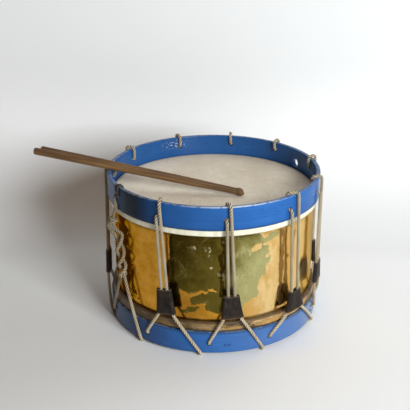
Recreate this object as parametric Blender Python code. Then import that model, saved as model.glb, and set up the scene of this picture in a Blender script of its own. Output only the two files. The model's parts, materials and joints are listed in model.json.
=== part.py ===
"""A rope-tensioned side drum with a brass shell, two painted wooden counterhoops, calfskin
heads lapped on flesh hoops, a cord laced between the hoops with leather tugs, a twist of
spare cord and a pair of sticks lying across the rim.

Metres, +Z up, the drum standing on its cord where that passes under the lower hoop.
Angles are degrees round the drum, 0 at the front (-Y) and growing towards +X.
"""

import math

import bmesh
import bpy
import numpy as np
from mathutils import Matrix, Vector

# Driving dimensions

DRUM_HEIGHT = 0.2824
HOOP_WALL = 0.0077
HOOP_PROUD = 0.003
TOP_HOOP_HEIGHT = 0.044
BOTTOM_HOOP_HEIGHT = 0.042
RIM_ROUND = 0.0012

SHELL_RADIUS = 0.1903
SHEET = 0.001
EDGE_WIRE = 0.004
VENT_RADIUS = 0.004
VENT_ANGLE = 150

SKIN = 0.0006
HEAD_RECESS = 0.0386
SNARE_HEAD_RECESS = 0.0365
FLESH_HOOP_WALL = 0.0046
TOP_FLESH_HEIGHT = 0.0097
BOTTOM_FLESH_HEIGHT = 0.0157
TUCK_MARGIN = 0.001

CORD = 0.0054
CORD_HOLE = 0.009
TOP_HOLE_DROP = 0.0245
BOTTOM_HOLE_RISE = 0.019
CORD_BEND = 0.0046
STRAND_OFF = 0.0027
OVER_LIFT = 0.001
STAND_FLAT = 0.0006
HOLE_REACH = 0.02

LACE_COUNT = 11
LACE_START = -57
FOOT_SPREAD = 0.0155
EMPTY_HOLE = 0.017
EMPTY_HOLE_ANGLE = 122
EMPTY_HOLE_DROP = 0.0275

# The holes were drilled by eye: how far each lacing point strays from even spacing, in degrees
TOP_STRAY = (-4.8, -3.2, -1.15, 2.5, -1.6, -1.6, 0.6, -2, -2.5, 0.5, -4)
BOTTOM_STRAY = (2, 3.7, 3.7, 13, 8, 4, 4, 8, 4, 3, 2)

# How much nearer to the rim than the first one each hole of the upper hoop was drilled
TOP_RAISE = (0, 0, 0, 0, 0, 0.009, 0.010, 0.0077, 0.0055, 0.0029, 0)

# Each pair of strands and its hand-cut tug: the pair's spread at the upper hoop and at the
# tug's two ends, the tug's length, and how far its lower end leans in degrees and is raised
TOP_SPREAD = (0, 0.0062, 0.0062, 0.016, 0.008, 0.009, 0.0066, 0.0062, 0.0062, 0.008, 0.010)
NECK_SPREAD = (0, 0.0113, 0.0117, 0.0165, 0.012, 0.012, 0.013, 0.012, 0.0115, 0.0125, 0.012)
TUG_SPREAD = (0, 0.0288, 0.0315, 0.0385, 0.035, 0.030, 0.032, 0.029, 0.031, 0.033, 0.030)
TUG_HEIGHT = (0, 0.048, 0.0435, 0.0385, 0.038, 0.044, 0.046, 0.043, 0.045, 0.042, 0.044)
TUG_LEAN = (0, 3.6, 2.15, 2.2, -0.8, 1, -1, 0, 1, -1, 4)
TUG_RAISE = (0, 0.0025, 0.0023, -0.011, 0.010, -0.004, 0, 0.003, -0.006, 0, -0.004)

TUG_TOP_WIDTH = 0.028
TUG_LEATHER = 0.0014
TUG_FIT = 0.0009
TUG_BOTTOM = 0.072
TUG_MOUTH = 0.003

# The spare cord hangs doubled and twisted. Each level of the twist: its height, its angle
# round the drum and how far the first leg has turned round the second one
TWIST_LEVELS = ((0.1967, -57.6, -49), (0.1782, -57, 41), (0.1627, -56.4, 131),
                (0.1482, -55.8, 221), (0.1367, -55.1, 311), (0.1222, -54.7, 450))
TWIST_ACROSS = 0.008
TWIST_OUT = 0.0066
TWIST_STEPS = 4
HITCH_ANGLE = -61
HITCH_OUT = 0.0035
HITCH_LOW = 0.2172
HITCH_RADIUS = 0.0064
HITCH_PITCH = 0.0061
HITCH_TURN = 540
ARCH_RADIUS = 0.007
STOPPER = 0.011

STRAP_WIDTH = 0.012
STRAP_THICKNESS = 0.0022
STRAP_LEG = 0.0175
STRAP_ANGLE = -58.6
RIVET = 0.003
RIVET_HEAD = 0.0066
RIVET_DROP = 0.0115

NAIL = 0.0016
NAIL_HEAD = 0.0044
NAIL_SPACING = 0.0088
NAIL_SLANT = 0.2
NAIL_LOW = 0.018
TOP_NAIL_ANGLE = 155
BOTTOM_NAIL_ANGLE = 68.3

GUT = 0.0015
GUT_SPACING = 0.007
GUT_KNOT = 0.0036
GUT_FRONT_ANGLE = 7.6
GUT_BACK_ANGLE = 178
GUT_RISE = 0.016
GUT_CLEARANCE = 0.0006

STICK_LENGTH = 0.402
FAR_STICK_LENGTH = 0.391
STICK_BUTT = 0.0135
STICK_WAIST = 0.0115
STICK_NECK = 0.0078
STICK_BEAD = 0.011
BEAD_LENGTH = 0.014
STICK_TAPER = 0.13
TIP_X = 0.0485
TIP_Y = -0.050
STICK_TURN = 172.6
STICK_GAP = 0.0003
FAR_STICK_SHIFT = 0.0085
FAR_STICK_CLOSING = 0.6

GAP = 0.0003
SEGMENTS = 56
CORD_SIDES = 1

# The whole object's outline is centred over the origin, which the sticks' reach moves
AXIS_X = 0.0652
AXIS_Y = 0.0002

# Worked-out levels and radii

FLESH_BORE = SHELL_RADIUS + 2 * GAP + SKIN
FLESH_RADIUS = FLESH_BORE + FLESH_HOOP_WALL
BAND_RADIUS = FLESH_RADIUS + GAP + SKIN
HOOP_RADIUS = BAND_RADIUS + HOOP_PROUD

HOOP_LIFT = CORD + GAP - STAND_FLAT
RIM = HOOP_LIFT + DRUM_HEIGHT
HOOP_BORE = HOOP_RADIUS - HOOP_WALL
TOP_HOOP_BASE = RIM - TOP_HOOP_HEIGHT
BOTTOM_HOOP_TOP = HOOP_LIFT + BOTTOM_HOOP_HEIGHT
BATTER_LEVEL = RIM - HEAD_RECESS
SNARE_LEVEL = HOOP_LIFT + SNARE_HEAD_RECESS
TOP_HOLE = RIM - TOP_HOLE_DROP
BOTTOM_HOLE = HOOP_LIFT + BOTTOM_HOLE_RISE

FACET = HOOP_RADIUS * (1 - math.cos(math.pi / SEGMENTS))
CORD_OUT = HOOP_RADIUS + GAP + CORD / 2
CORD_RUN = CORD_OUT + STRAND_OFF
CORD_IN = HOOP_BORE - GAP - FACET - CORD / 2
BAND_LOW = TOP_HOOP_BASE - 3 * GAP - 2 * SKIN - TOP_FLESH_HEIGHT

TUG_THICKNESS = CORD + 2 * (TUG_FIT + TUG_LEATHER)
PITCH = 360 / LACE_COUNT
ARCH_TOP, ARCH_ANGLE = TWIST_LEVELS[-1][:2]


def top_angle(index):
    """The middle of the two strands at the upper hoop."""
    return LACE_START + PITCH * index + TOP_STRAY[index % len(TOP_STRAY)]


def bottom_angle(index):
    """The middle of the cord's turn round the lower hoop, after lacing point index."""
    return LACE_START + PITCH * (index + 0.5) + BOTTOM_STRAY[index % len(BOTTOM_STRAY)]


def top_hole(index):
    """The height of a hole of the upper hoop."""
    return TOP_HOLE + TOP_RAISE[index % len(TOP_RAISE)]


def half_spread(index):
    """Half the angle between the two strands at the upper hoop."""
    return arc_angle(TOP_SPREAD[index % len(TOP_SPREAD)] / 2)


def tug_angle(index):
    return top_angle(index) + TUG_LEAN[index % len(TUG_LEAN)]


def tug_low(index):
    """The height of a tug's lower end."""
    return HOOP_LIFT + TUG_BOTTOM + TUG_RAISE[index % len(TUG_RAISE)]


def tug_length(index):
    return TUG_HEIGHT[index % len(TUG_HEIGHT)]


def strand_angle(index, height):
    """The middle of the two strands where they run up from the tug to the upper hoop."""
    share = (height - tug_low(index)) / (TOP_HOOP_BASE - tug_low(index))
    return tug_angle(index) + (top_angle(index) - tug_angle(index)) * share


def arc_angle(length, radius=CORD_OUT):
    """The angle that a length takes up round the drum."""
    return math.degrees(length / radius)


def polar(angle, radius, height):
    """A point of the drum in world coordinates."""
    turn = math.radians(angle)
    return Vector((AXIS_X + radius * math.sin(turn), AXIS_Y - radius * math.cos(turn), height))


def outward(angle):
    turn = math.radians(angle)
    return Vector((math.sin(turn), -math.cos(turn), 0))


# Scene, materials and meshes

def clear_scene():
    for item in list(bpy.data.objects):
        bpy.data.objects.remove(item, do_unlink=True)


def material(name, colour, roughness, metallic=0.0):
    made = bpy.data.materials.new(name)
    made.use_nodes = True
    shader = made.node_tree.nodes["Principled BSDF"]
    shader.inputs["Base Color"].default_value = (*colour, 1)
    shader.inputs["Roughness"].default_value = roughness
    shader.inputs["Metallic"].default_value = metallic
    made.diffuse_color = (*colour, 1)
    return made


def place(name, mesh, finish):
    item = bpy.data.objects.new(name, mesh)
    bpy.context.collection.objects.link(item)
    if finish:
        mesh.materials.append(finish)
    return item


def finished_mesh(name, bm):
    bmesh.ops.recalc_face_normals(bm, faces=bm.faces)
    mesh = bpy.data.meshes.new(name)
    bm.to_mesh(mesh)
    bm.free()
    mesh.shade_smooth()
    mesh.set_sharp_from_angle(angle=math.radians(35))
    return mesh


def turned_mesh(name, profile, steps=SEGMENTS, closed=True):
    """A profile of (radius, height) points turned round the Z axis; open ones end on the axis."""
    bm = bmesh.new()
    corners = [bm.verts.new((radius, 0, height)) for radius, height in profile]
    pairs = list(zip(corners, corners[1:]))
    if closed:
        pairs.append((corners[-1], corners[0]))
    edges = [bm.edges.new(pair) for pair in pairs]
    bmesh.ops.spin(bm, geom=corners + edges, cent=(0, 0, 0), axis=(0, 0, 1),
                   angle=2 * math.pi, steps=steps, use_merge=True)
    bmesh.ops.remove_doubles(bm, verts=bm.verts, dist=1e-6)
    return finished_mesh(name, bm)


def turned(name, profile, finish, closed=True):
    """A piece turned round the drum's own axis."""
    item = place(name, turned_mesh(name, profile, closed=closed), finish)
    item.location = (AXIS_X, AXIS_Y, 0)
    return item


def tube(name, points, diameter, finish, cyclic=False, swell=None):
    """A round cord along world points; swell scales its radius point by point."""
    data = bpy.data.curves.new(name, "CURVE")
    data.dimensions = "3D"
    data.bevel_depth = diameter / 2
    data.bevel_resolution = CORD_SIDES
    data.use_fill_caps = not cyclic
    data.twist_mode = "MINIMUM"
    spline = data.splines.new("POLY")
    spline.points.add(len(points) - 1)
    for number, point in enumerate(points):
        spline.points[number].co = (*point, 1)
        spline.points[number].radius = swell[number] if swell else 1
    spline.use_cyclic_u = cyclic
    item = bpy.data.objects.new(name, data)
    bpy.context.collection.objects.link(item)
    data.materials.append(finish)
    return item


def rod_cutter(bm, angle, height, inner, outer, diameter, sides=10):
    """Adds a radial rod, which cuts a hole through a hoop or the shell."""
    middle = polar(angle, (inner + outer) / 2, height)
    turn = outward(angle).to_track_quat("Z", "Y").to_matrix().to_4x4()
    bmesh.ops.create_cone(bm, cap_ends=True, segments=sides, radius1=diameter / 2,
                          radius2=diameter / 2, depth=outer - inner,
                          matrix=Matrix.Translation(middle) @ turn)


def cut_holes(item, holes):
    """Cuts radial holes, each (angle, height, diameter), through a turned piece's wall."""
    bm = bmesh.new()
    for angle, height, diameter in holes:
        rod_cutter(bm, angle, height, SHELL_RADIUS - HOLE_REACH, HOOP_RADIUS + HOLE_REACH,
                   diameter)
    cutter = place(item.name + "_holes", finished_mesh(item.name + "_holes", bm), None)
    cutter.hide_render = True
    cutter.display_type = "WIRE"
    step = item.modifiers.new("holes", "BOOLEAN")
    step.operation = "DIFFERENCE"
    step.solver = "EXACT"
    step.object = cutter


# Shell and edge wires

CURL_CENTRE = SHELL_RADIUS - SHEET - GAP - EDGE_WIRE / 2
CURL_OUT = SHEET + GAP + EDGE_WIRE / 2
CURL_IN = GAP + EDGE_WIRE / 2
CURL_ARC = 210
CURL_STEPS = 4


def bearing_level(head_level, side):
    """The height of a shell edge's crest, under the head that it carries."""
    return head_level - side * (SKIN + GAP)


def curl(centre_height, side, radius, reverse):
    """Points of a rolled edge, from the wall over the crest towards the inside."""
    points = []
    for step in range(CURL_STEPS + 1):
        turn = math.radians(CURL_ARC * step / CURL_STEPS)
        points.append((CURL_CENTRE + radius * math.cos(turn),
                       centre_height + side * radius * math.sin(turn)))
    return points[::-1] if reverse else points


def build_shell(brass, iron):
    top = bearing_level(BATTER_LEVEL, 1) - CURL_OUT
    low = bearing_level(SNARE_LEVEL, -1) + CURL_OUT
    profile = curl(top, 1, CURL_OUT, False) + curl(top, 1, CURL_IN, True)
    profile += curl(low, -1, CURL_IN, False) + curl(low, -1, CURL_OUT, True)
    shell = turned("shell", profile, brass)
    cut_holes(shell, [(VENT_ANGLE, (top + low) / 2, 2 * VENT_RADIUS)])
    for name, height in (("top_edge_wire", top), ("bottom_edge_wire", low)):
        ring = []
        for step in range(6):
            turn = math.tau * step / 6
            ring.append((CURL_CENTRE + EDGE_WIRE / 2 * math.cos(turn),
                         height + EDGE_WIRE / 2 * math.sin(turn)))
        turned(name, ring, iron)


# Heads: a skin drawn over the shell's edge and lapped round its flesh hoop

def head_profile(level, hoop_edge, flesh_height, side):
    """A skin's section; side is 1 for the upper head and -1 for the lower one."""
    crest = bearing_level(level, side) - side * CURL_OUT
    near = hoop_edge - side * (GAP + SKIN)
    far = near - side * (flesh_height + 2 * GAP)
    low = far - side * SKIN
    outside = []
    inside = []
    for turn in (math.pi / 2, math.pi / 4, 0):
        across = math.cos(turn)
        along = math.sin(turn)
        reach = CURL_OUT + GAP
        inside.append((CURL_CENTRE + reach * across, crest + side * reach * along))
        reach += SKIN
        outside.append((CURL_CENTRE + reach * across, crest + side * reach * along))
    wall = SHELL_RADIUS + GAP
    profile = [(0, level)] + outside
    profile += [(wall + SKIN, far), (BAND_RADIUS - SKIN, far), (BAND_RADIUS - SKIN, near)]
    profile += [(FLESH_BORE + TUCK_MARGIN, near), (FLESH_BORE + TUCK_MARGIN, near + side * SKIN)]
    profile += [(BAND_RADIUS, near + side * SKIN), (BAND_RADIUS, low), (wall, low)]
    profile += inside[::-1] + [(0, level - side * SKIN)]
    return profile


def flesh_profile(hoop_edge, flesh_height, side):
    near = hoop_edge - side * (2 * GAP + SKIN)
    far = near - side * flesh_height
    return [(FLESH_BORE, near), (FLESH_RADIUS, near), (FLESH_RADIUS, far), (FLESH_BORE, far)]


def build_heads(calfskin, worn_skin, ash):
    turned("batter_skin", head_profile(BATTER_LEVEL, TOP_HOOP_BASE, TOP_FLESH_HEIGHT, 1),
           calfskin, closed=False)
    turned("snare_skin", head_profile(SNARE_LEVEL, BOTTOM_HOOP_TOP, BOTTOM_FLESH_HEIGHT, -1),
           worn_skin, closed=False)
    turned("top_flesh_hoop", flesh_profile(TOP_HOOP_BASE, TOP_FLESH_HEIGHT, 1), ash)
    turned("bottom_flesh_hoop", flesh_profile(BOTTOM_HOOP_TOP, BOTTOM_FLESH_HEIGHT, -1), ash)


# Counterhoops

def nail_places(angle, height):
    return [(angle + NAIL_SLANT * number, height + NAIL_SPACING * number) for number in range(3)]


TOP_NAILS = nail_places(TOP_NAIL_ANGLE, TOP_HOOP_BASE + NAIL_LOW)
BOTTOM_NAILS = nail_places(BOTTOM_NAIL_ANGLE, HOOP_LIFT + NAIL_LOW)


def hoop_profile(base, crown, side):
    """A hoop's section, with the two corners of its free rim eased."""
    rim, back = (crown, base) if side > 0 else (base, crown)
    ease = side * RIM_ROUND
    return [(HOOP_BORE, back), (HOOP_BORE, rim - ease), (HOOP_BORE + RIM_ROUND, rim),
            (HOOP_RADIUS - RIM_ROUND, rim), (HOOP_RADIUS, rim - ease), (HOOP_RADIUS, back)]


def gut_angles():
    """Where the snares leave the lower hoop, at its front and its back."""
    half = arc_angle(GUT_SPACING / 2, HOOP_RADIUS)
    return [(GUT_FRONT_ANGLE - half, GUT_BACK_ANGLE + half),
            (GUT_FRONT_ANGLE + half, GUT_BACK_ANGLE - half)]


def build_hoops(paint):
    top = turned("top_counterhoop", hoop_profile(TOP_HOOP_BASE, RIM, 1), paint)
    holes = [(top_angle(index) - half_spread(index), top_hole(index), CORD_HOLE)
             for index in range(LACE_COUNT)]
    holes.append((EMPTY_HOLE_ANGLE, RIM - EMPTY_HOLE_DROP, EMPTY_HOLE))
    holes.append((STRAP_ANGLE, RIM - RIVET_DROP, RIVET + 2 * GAP))
    holes += [(angle, height, NAIL + 2 * GAP) for angle, height in TOP_NAILS]
    cut_holes(top, holes)

    foot = arc_angle(FOOT_SPREAD / 2)
    low = turned("bottom_counterhoop", hoop_profile(HOOP_LIFT, BOTTOM_HOOP_TOP, -1), paint)
    holes = [(bottom_angle(index) + foot, BOTTOM_HOLE, CORD_HOLE) for index in range(LACE_COUNT)]
    holes += [(angle, height, NAIL + 2 * GAP) for angle, height in BOTTOM_NAILS]
    for pair in gut_angles():
        holes += [(angle, HOOP_LIFT + GUT_RISE, GUT + 4 * GAP) for angle in pair]
    cut_holes(low, holes)


# Lacing cord, as (angle, radius, height) points

def quarter(angle, centre, start, sweep, steps=3):
    """A bend of the cord in the drum's radial plane, from one direction to another."""
    points = []
    for step in range(steps + 1):
        turn = math.radians(start + sweep * step / steps)
        points.append((angle, centre[0] + CORD_BEND * math.cos(turn),
                       centre[1] + CORD_BEND * math.sin(turn)))
    return points


def over_top(index):
    """Up to the hole in the upper hoop, in, up its inner face and out over the rim."""
    hole = top_angle(index) - half_spread(index)
    over = top_angle(index) + half_spread(index)
    crown = RIM + GAP + CORD / 2 + OVER_LIFT - CORD_BEND
    points = quarter(hole, (CORD_RUN - CORD_BEND, top_hole(index) - CORD_BEND), 0, 90)
    points += quarter(hole, (CORD_IN + CORD_BEND, top_hole(index) + CORD_BEND), 270, -90)
    points += quarter(over, (CORD_IN + CORD_BEND, crown), 180, -90)
    points += quarter(over, (CORD_RUN - CORD_BEND, crown), 90, -90)
    return points


def under_bottom(index):
    """Down round the lower hoop's edge, up inside and out through the next hole."""
    foot = arc_angle(FOOT_SPREAD / 2)
    edge = bottom_angle(index) - foot
    hole = bottom_angle(index) + foot
    keel = HOOP_LIFT - GAP - CORD / 2 + CORD_BEND
    points = quarter(edge, (CORD_OUT - CORD_BEND, keel), 0, -90)
    points += quarter(edge, (CORD_IN + CORD_BEND, keel), 270, -90)
    points += quarter(hole, (CORD_IN + CORD_BEND, BOTTOM_HOLE - CORD_BEND), 180, -90)
    points += quarter(hole, (CORD_OUT - CORD_BEND, BOTTOM_HOLE + CORD_BEND), 270, 90)
    return points


def beside(angle, offset):
    """The angle and radius of a place beside a strand pair's middle, in the flat of its tug."""
    return angle + math.degrees(math.atan2(offset, CORD_RUN)), math.hypot(CORD_RUN, offset)


def tug_path(index, side):
    """A strand's two points at the ends of its tug; side is -1 for the left strand."""
    low = tug_low(index)
    top = low + tug_length(index)
    narrow = NECK_SPREAD[index % len(NECK_SPREAD)] / 2
    wide = TUG_SPREAD[index % len(TUG_SPREAD)] / 2
    ends = [(*beside(strand_angle(index, top), side * narrow), top),
            (*beside(tug_angle(index), side * wide), low - TUG_MOUTH)]
    return ends if side > 0 else ends[::-1]


def arch():
    """The cord's turn through the foot of the twist."""
    points = []
    for step in range(9):
        turn = math.radians(180 - 22.5 * step)
        points.append((ARCH_ANGLE + arc_angle(ARCH_RADIUS * math.cos(turn)), CORD_OUT,
                       ARCH_TOP - ARCH_RADIUS * (1 - math.sin(turn))))
    return points


def lacing_route():
    route = arch()
    for index in range(1, LACE_COUNT):
        route += under_bottom(index - 1)
        route += tug_path(index, -1) + over_top(index) + tug_path(index, 1)
    route += under_bottom(LACE_COUNT - 1)
    return route


def eased(route, widest=5.5):
    """World points along a route, with wide runs split so that they follow the drum's curve."""
    points = []
    for start, end in zip(route, route[1:] + route[:1]):
        turn = (end[0] - start[0] + 180) % 360 - 180
        steps = max(1, math.ceil(abs(turn) / widest))
        for step in range(steps):
            share = step / steps
            points.append(polar(start[0] + turn * share, start[1] + (end[1] - start[1]) * share,
                                start[2] + (end[2] - start[2]) * share))
    return points


def build_lacing(hemp):
    """The cord, pressed flat where the drum stands on it."""
    guide = tube("lacing_guide", eased(lacing_route()), CORD, hemp, cyclic=True)
    bpy.context.view_layer.update()
    evaluated = guide.evaluated_get(bpy.context.evaluated_depsgraph_get())
    mesh = bpy.data.meshes.new_from_object(evaluated)
    bpy.data.objects.remove(guide, do_unlink=True)
    for vertex in mesh.vertices:
        vertex.co.z = max(vertex.co.z, 0)
    mesh.name = "lacing_rope"
    return place("lacing_rope", mesh, None)


# Spare cord, doubled and twisted, hitched at its top, as (angle, radius, height) points

def twist_point(side, share):
    """A point of a leg, side 1 or -1, at a share of the way down the twist's levels."""
    number = min(int(share), len(TWIST_LEVELS) - 2)
    upper, lower = TWIST_LEVELS[number:number + 2]
    height, angle, turn = [a + (b - a) * (share - number) for a, b in zip(upper, lower)]
    across = side * TWIST_ACROSS * math.cos(math.radians(turn))
    out = side * TWIST_OUT * math.sin(math.radians(turn))
    return angle + arc_angle(across), CORD_OUT + out, height


def hitch_point(turn):
    """A point of the hitch that the cord's end makes round its standing part."""
    across = HITCH_RADIUS * math.cos(math.radians(180 - turn))
    out = HITCH_OUT + HITCH_RADIUS * math.sin(math.radians(180 - turn))
    return HITCH_ANGLE + arc_angle(across), CORD_OUT + out, HITCH_LOW + HITCH_PITCH * turn / 360


def spare_route():
    """The spare cord from the hoop's hole down one leg, through the arch and up the other."""
    hole = top_angle(0)
    start = TWIST_LEVELS[0][1]
    stand = CORD_OUT + HITCH_OUT
    route = quarter(hole, (CORD_OUT - CORD_BEND, TOP_HOLE - CORD_BEND), 90, -60)
    route += [(hole + 2, CORD_OUT, TOP_HOLE - 0.008), (hole + 2.3, CORD_OUT, TOP_HOLE - 0.017),
              (HITCH_ANGLE + 0.5, stand - 0.0015, HITCH_LOW + 0.020),
              (HITCH_ANGLE, stand, HITCH_LOW + 0.012), (HITCH_ANGLE, stand, HITCH_LOW - 0.001),
              (HITCH_ANGLE + 0.4, stand + 0.0005, HITCH_LOW - 0.005),
              (start - 1.2, CORD_OUT + 0.003, HITCH_LOW - 0.0115),
              (start + 0.9, CORD_OUT - 0.002, TWIST_LEVELS[0][0] + 0.0045)]
    count = TWIST_STEPS * (len(TWIST_LEVELS) - 1)
    route += [twist_point(1, step / TWIST_STEPS) for step in range(count + 1)]
    for turn in (45, 90, 135):
        route.append((ARCH_ANGLE, CORD_OUT + TWIST_OUT * math.cos(math.radians(turn)),
                      ARCH_TOP - TWIST_OUT * math.sin(math.radians(turn))))
    route += [twist_point(-1, (count - step) / TWIST_STEPS) for step in range(count + 1)]
    route += [(start - 3, CORD_OUT + 0.0075, TWIST_LEVELS[0][0] + 0.004),
              (start - 5.2, CORD_OUT + 0.0105, TWIST_LEVELS[0][0] + 0.009),
              (start - 6, CORD_OUT + 0.0108, TWIST_LEVELS[0][0] + 0.0145),
              (start - 5.3, CORD_OUT + 0.0102, TWIST_LEVELS[0][0] + 0.0192)]
    route += [hitch_point(turn) for turn in range(90, HITCH_TURN + 1, 45)]
    return route


def spare_points():
    """World points of the spare cord with the radius of each, from its stopper knot."""
    hole = top_angle(0)
    knot = HOOP_BORE - GAP - FACET - STOPPER / 2
    points = []
    swell = []
    for share in (-0.5, -0.3, 0, 0.3):
        points.append(polar(hole, knot + share * STOPPER, TOP_HOLE))
        swell.append(STOPPER / CORD * math.sqrt(1.12 - 4 * share * share))
    points.append(polar(hole, HOOP_BORE, TOP_HOLE))
    points += [polar(*place) for place in spare_route()]
    swell += [1] * (len(points) - len(swell))
    return points, swell


def least_gap(points, diameter):
    """The least gap between the cord's turns, measured along its straight runs."""
    places = np.array([tuple(point) for point in points])
    shares = np.linspace(0, 1, 5)[:-1, None, None]
    places = (places[:-1] + (places[1:] - places[:-1]) * shares).swapaxes(0, 1).reshape(-1, 3)
    runs = np.linalg.norm(np.diff(places, axis=0), axis=1)
    along = np.concatenate([[0], np.cumsum(runs)])
    apart = np.linalg.norm(places[:, None] - places[None], axis=2)
    others = np.abs(along[:, None] - along[None]) > 1.9 * diameter
    return apart[others].min() - diameter


def build_spare_cord(hemp):
    points, swell = spare_points()
    print(f"spare cord: least gap to itself {1000 * least_gap(points[5:], CORD):.2f} mm")
    tube("spare_cord", points, CORD, hemp, swell=swell)


# Leather tugs

def tug_ring(bm, half_width, half_thickness, height):
    """A flat oval of vertices with round ends."""
    reach = half_width - half_thickness
    ring = []
    for side, start in ((1, -90), (-1, 90)):
        for step in range(5):
            turn = math.radians(start + 45 * step)
            ring.append(bm.verts.new((side * reach + half_thickness * math.cos(turn),
                                      half_thickness * math.sin(turn), height)))
    return ring


def tug_mesh(index):
    """A tapered sleeve about its own middle, X across, Y outward."""
    bm = bmesh.new()
    bottom_width = TUG_SPREAD[index % len(TUG_SPREAD)] + TUG_THICKNESS
    order = []
    for wall, ends in ((0, (0, 1)), (TUG_LEATHER, (1, 0))):
        for end in ends:
            width = TUG_TOP_WIDTH if end else bottom_width
            order.append(tug_ring(bm, width / 2 - wall, TUG_THICKNESS / 2 - wall,
                                  end * tug_length(index)))
    for lower, upper in zip(order, order[1:] + order[:1]):
        for number in range(len(lower)):
            after = (number + 1) % len(lower)
            bm.faces.new((lower[number], lower[after], upper[after], upper[number]))
    return finished_mesh("tug", bm)


def build_tugs(leather):
    for index in range(1, LACE_COUNT):
        item = place(f"tug_{index:02d}", tug_mesh(index), leather)
        foot = polar(tug_angle(index), CORD_RUN, tug_low(index))
        head = polar(top_angle(index), CORD_RUN, TOP_HOOP_BASE)
        along = (head - foot).normalized()
        across = along.cross(outward(tug_angle(index))).normalized() * -1
        out = along.cross(across)
        turn = Matrix((across, out, along)).transposed().to_4x4()
        item.matrix_world = Matrix.Translation(foot) @ turn
        travel = (BAND_LOW - 2 * GAP - tug_low(index) - tug_length(index)) / along.z
        print(f"{item.name}: slides {travel:.4f} m along "
              f"({along.x:.5f}, {along.y:.5f}, {along.z:.5f})")


# Small fittings

def turned_pin(name, profile, angle, radius, height, finish):
    """A small turned piece standing radially in a hoop, its own axis outward."""
    item = place(name, turned_mesh(name, profile, steps=8, closed=False), finish)
    turn = outward(angle).to_track_quat("Z", "Y").to_matrix().to_4x4()
    item.matrix_world = Matrix.Translation(polar(angle, radius, height)) @ turn
    return item


def build_nails(iron):
    length = HOOP_WALL + 2 * GAP + FACET
    profile = [(0, -length), (NAIL / 2, -length), (NAIL / 2, 0), (NAIL_HEAD / 2, 0),
               (NAIL_HEAD / 2 * 0.7, 0.0009), (0, 0.0012)]
    for name, places in (("top_hoop_nail", TOP_NAILS), ("bottom_hoop_nail", BOTTOM_NAILS)):
        for number, (angle, height) in enumerate(places):
            turned_pin(f"{name}_{number + 1}", profile, angle, HOOP_RADIUS + GAP, height, iron)


def build_rim_strap(leather, iron):
    """A leather loop bent over the upper rim, riveted through the hoop."""
    inner = HOOP_BORE - GAP - FACET
    outer = HOOP_RADIUS + 2 * GAP
    top = RIM + GAP
    foot = RIM - STRAP_LEG
    ease = STRAP_THICKNESS * 0.6
    outline = [(inner, foot), (inner, top), (outer, top), (outer, foot),
               (outer + STRAP_THICKNESS, foot),
               (outer + STRAP_THICKNESS, top + STRAP_THICKNESS - ease),
               (outer + STRAP_THICKNESS - ease, top + STRAP_THICKNESS),
               (inner - STRAP_THICKNESS + ease, top + STRAP_THICKNESS),
               (inner - STRAP_THICKNESS, top + STRAP_THICKNESS - ease),
               (inner - STRAP_THICKNESS, foot)]
    bm = bmesh.new()
    side = outward(STRAP_ANGLE + 90) * STRAP_WIDTH / 2
    face = bm.faces.new([bm.verts.new(polar(STRAP_ANGLE, radius, height) - side)
                         for radius, height in outline])
    grown = bmesh.ops.extrude_face_region(bm, geom=[face])
    moved = [item for item in grown["geom"] if isinstance(item, bmesh.types.BMVert)]
    bmesh.ops.translate(bm, vec=side * 2, verts=moved)
    strap = place("rim_strap", finished_mesh("rim_strap", bm), leather)
    cut_holes(strap, [(STRAP_ANGLE, RIM - RIVET_DROP, RIVET + 2 * GAP)])

    span = outer - inner + 2 * STRAP_THICKNESS + 2 * GAP
    crown = 0.0012
    profile = [(0, -span - crown), (RIVET_HEAD / 2 * 0.7, -span - crown * 0.8),
               (RIVET_HEAD / 2, -span), (RIVET / 2, -span), (RIVET / 2, 0), (RIVET_HEAD / 2, 0),
               (RIVET_HEAD / 2 * 0.7, crown * 0.8), (0, crown)]
    turned_pin("rim_strap_rivet", profile, STRAP_ANGLE, outer + STRAP_THICKNESS + GAP,
               RIM - RIVET_DROP, iron)


def build_snares(gut):
    """Two gut snares across the lower head, each knotted outside the lower hoop."""
    level = SNARE_LEVEL - GUT / 2 - GUT_CLEARANCE
    rise = HOOP_LIFT + GUT_RISE
    knot = GUT_KNOT / GUT
    for number, (front, back) in enumerate(gut_angles()):
        half = []
        for radius, height, scale in ((HOOP_RADIUS + GUT_KNOT + GAP, rise, 0.5 * knot),
                                      (HOOP_RADIUS + GUT_KNOT * 0.8 + GAP, rise, knot),
                                      (HOOP_RADIUS + GUT_KNOT * 0.3 + GAP, rise, knot),
                                      (HOOP_RADIUS + GAP, rise, 1),
                                      (HOOP_BORE - 0.001, rise, 1),
                                      (HOOP_BORE - 0.005, rise + 0.0015, 1),
                                      (SHELL_RADIUS - 0.028, level - 0.001, 1),
                                      (SHELL_RADIUS - 0.036, level, 1)):
            half.append((radius, height, scale))
        points = [polar(front, radius, height) for radius, height, scale in half]
        points += [polar(back, radius, height) for radius, height, scale in half[::-1]]
        swell = [scale for radius, height, scale in half + half[::-1]]
        tube(f"snare_gut_{number + 1}", points, GUT, gut, swell=swell)


# Drumsticks

def stick_profile(length):
    """A stick's section along its own axis, butt at 0 and tip at its length."""
    butt = STICK_BUTT / 2
    neck = length - BEAD_LENGTH
    return [(0, 0), (butt * 0.62, 0.0004), (butt * 0.9, 0.0022), (butt, 0.0055),
            (butt * 0.97, length * 0.45), (STICK_WAIST / 2, length - STICK_TAPER),
            (STICK_NECK / 2, neck), (STICK_BEAD / 2 * 0.86, neck + BEAD_LENGTH * 0.16),
            (STICK_BEAD / 2, neck + BEAD_LENGTH * 0.42), (STICK_BEAD / 2 * 0.9, length - 0.0035),
            (STICK_BEAD / 2 * 0.62, length - 0.0006), (0, length)]


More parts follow.
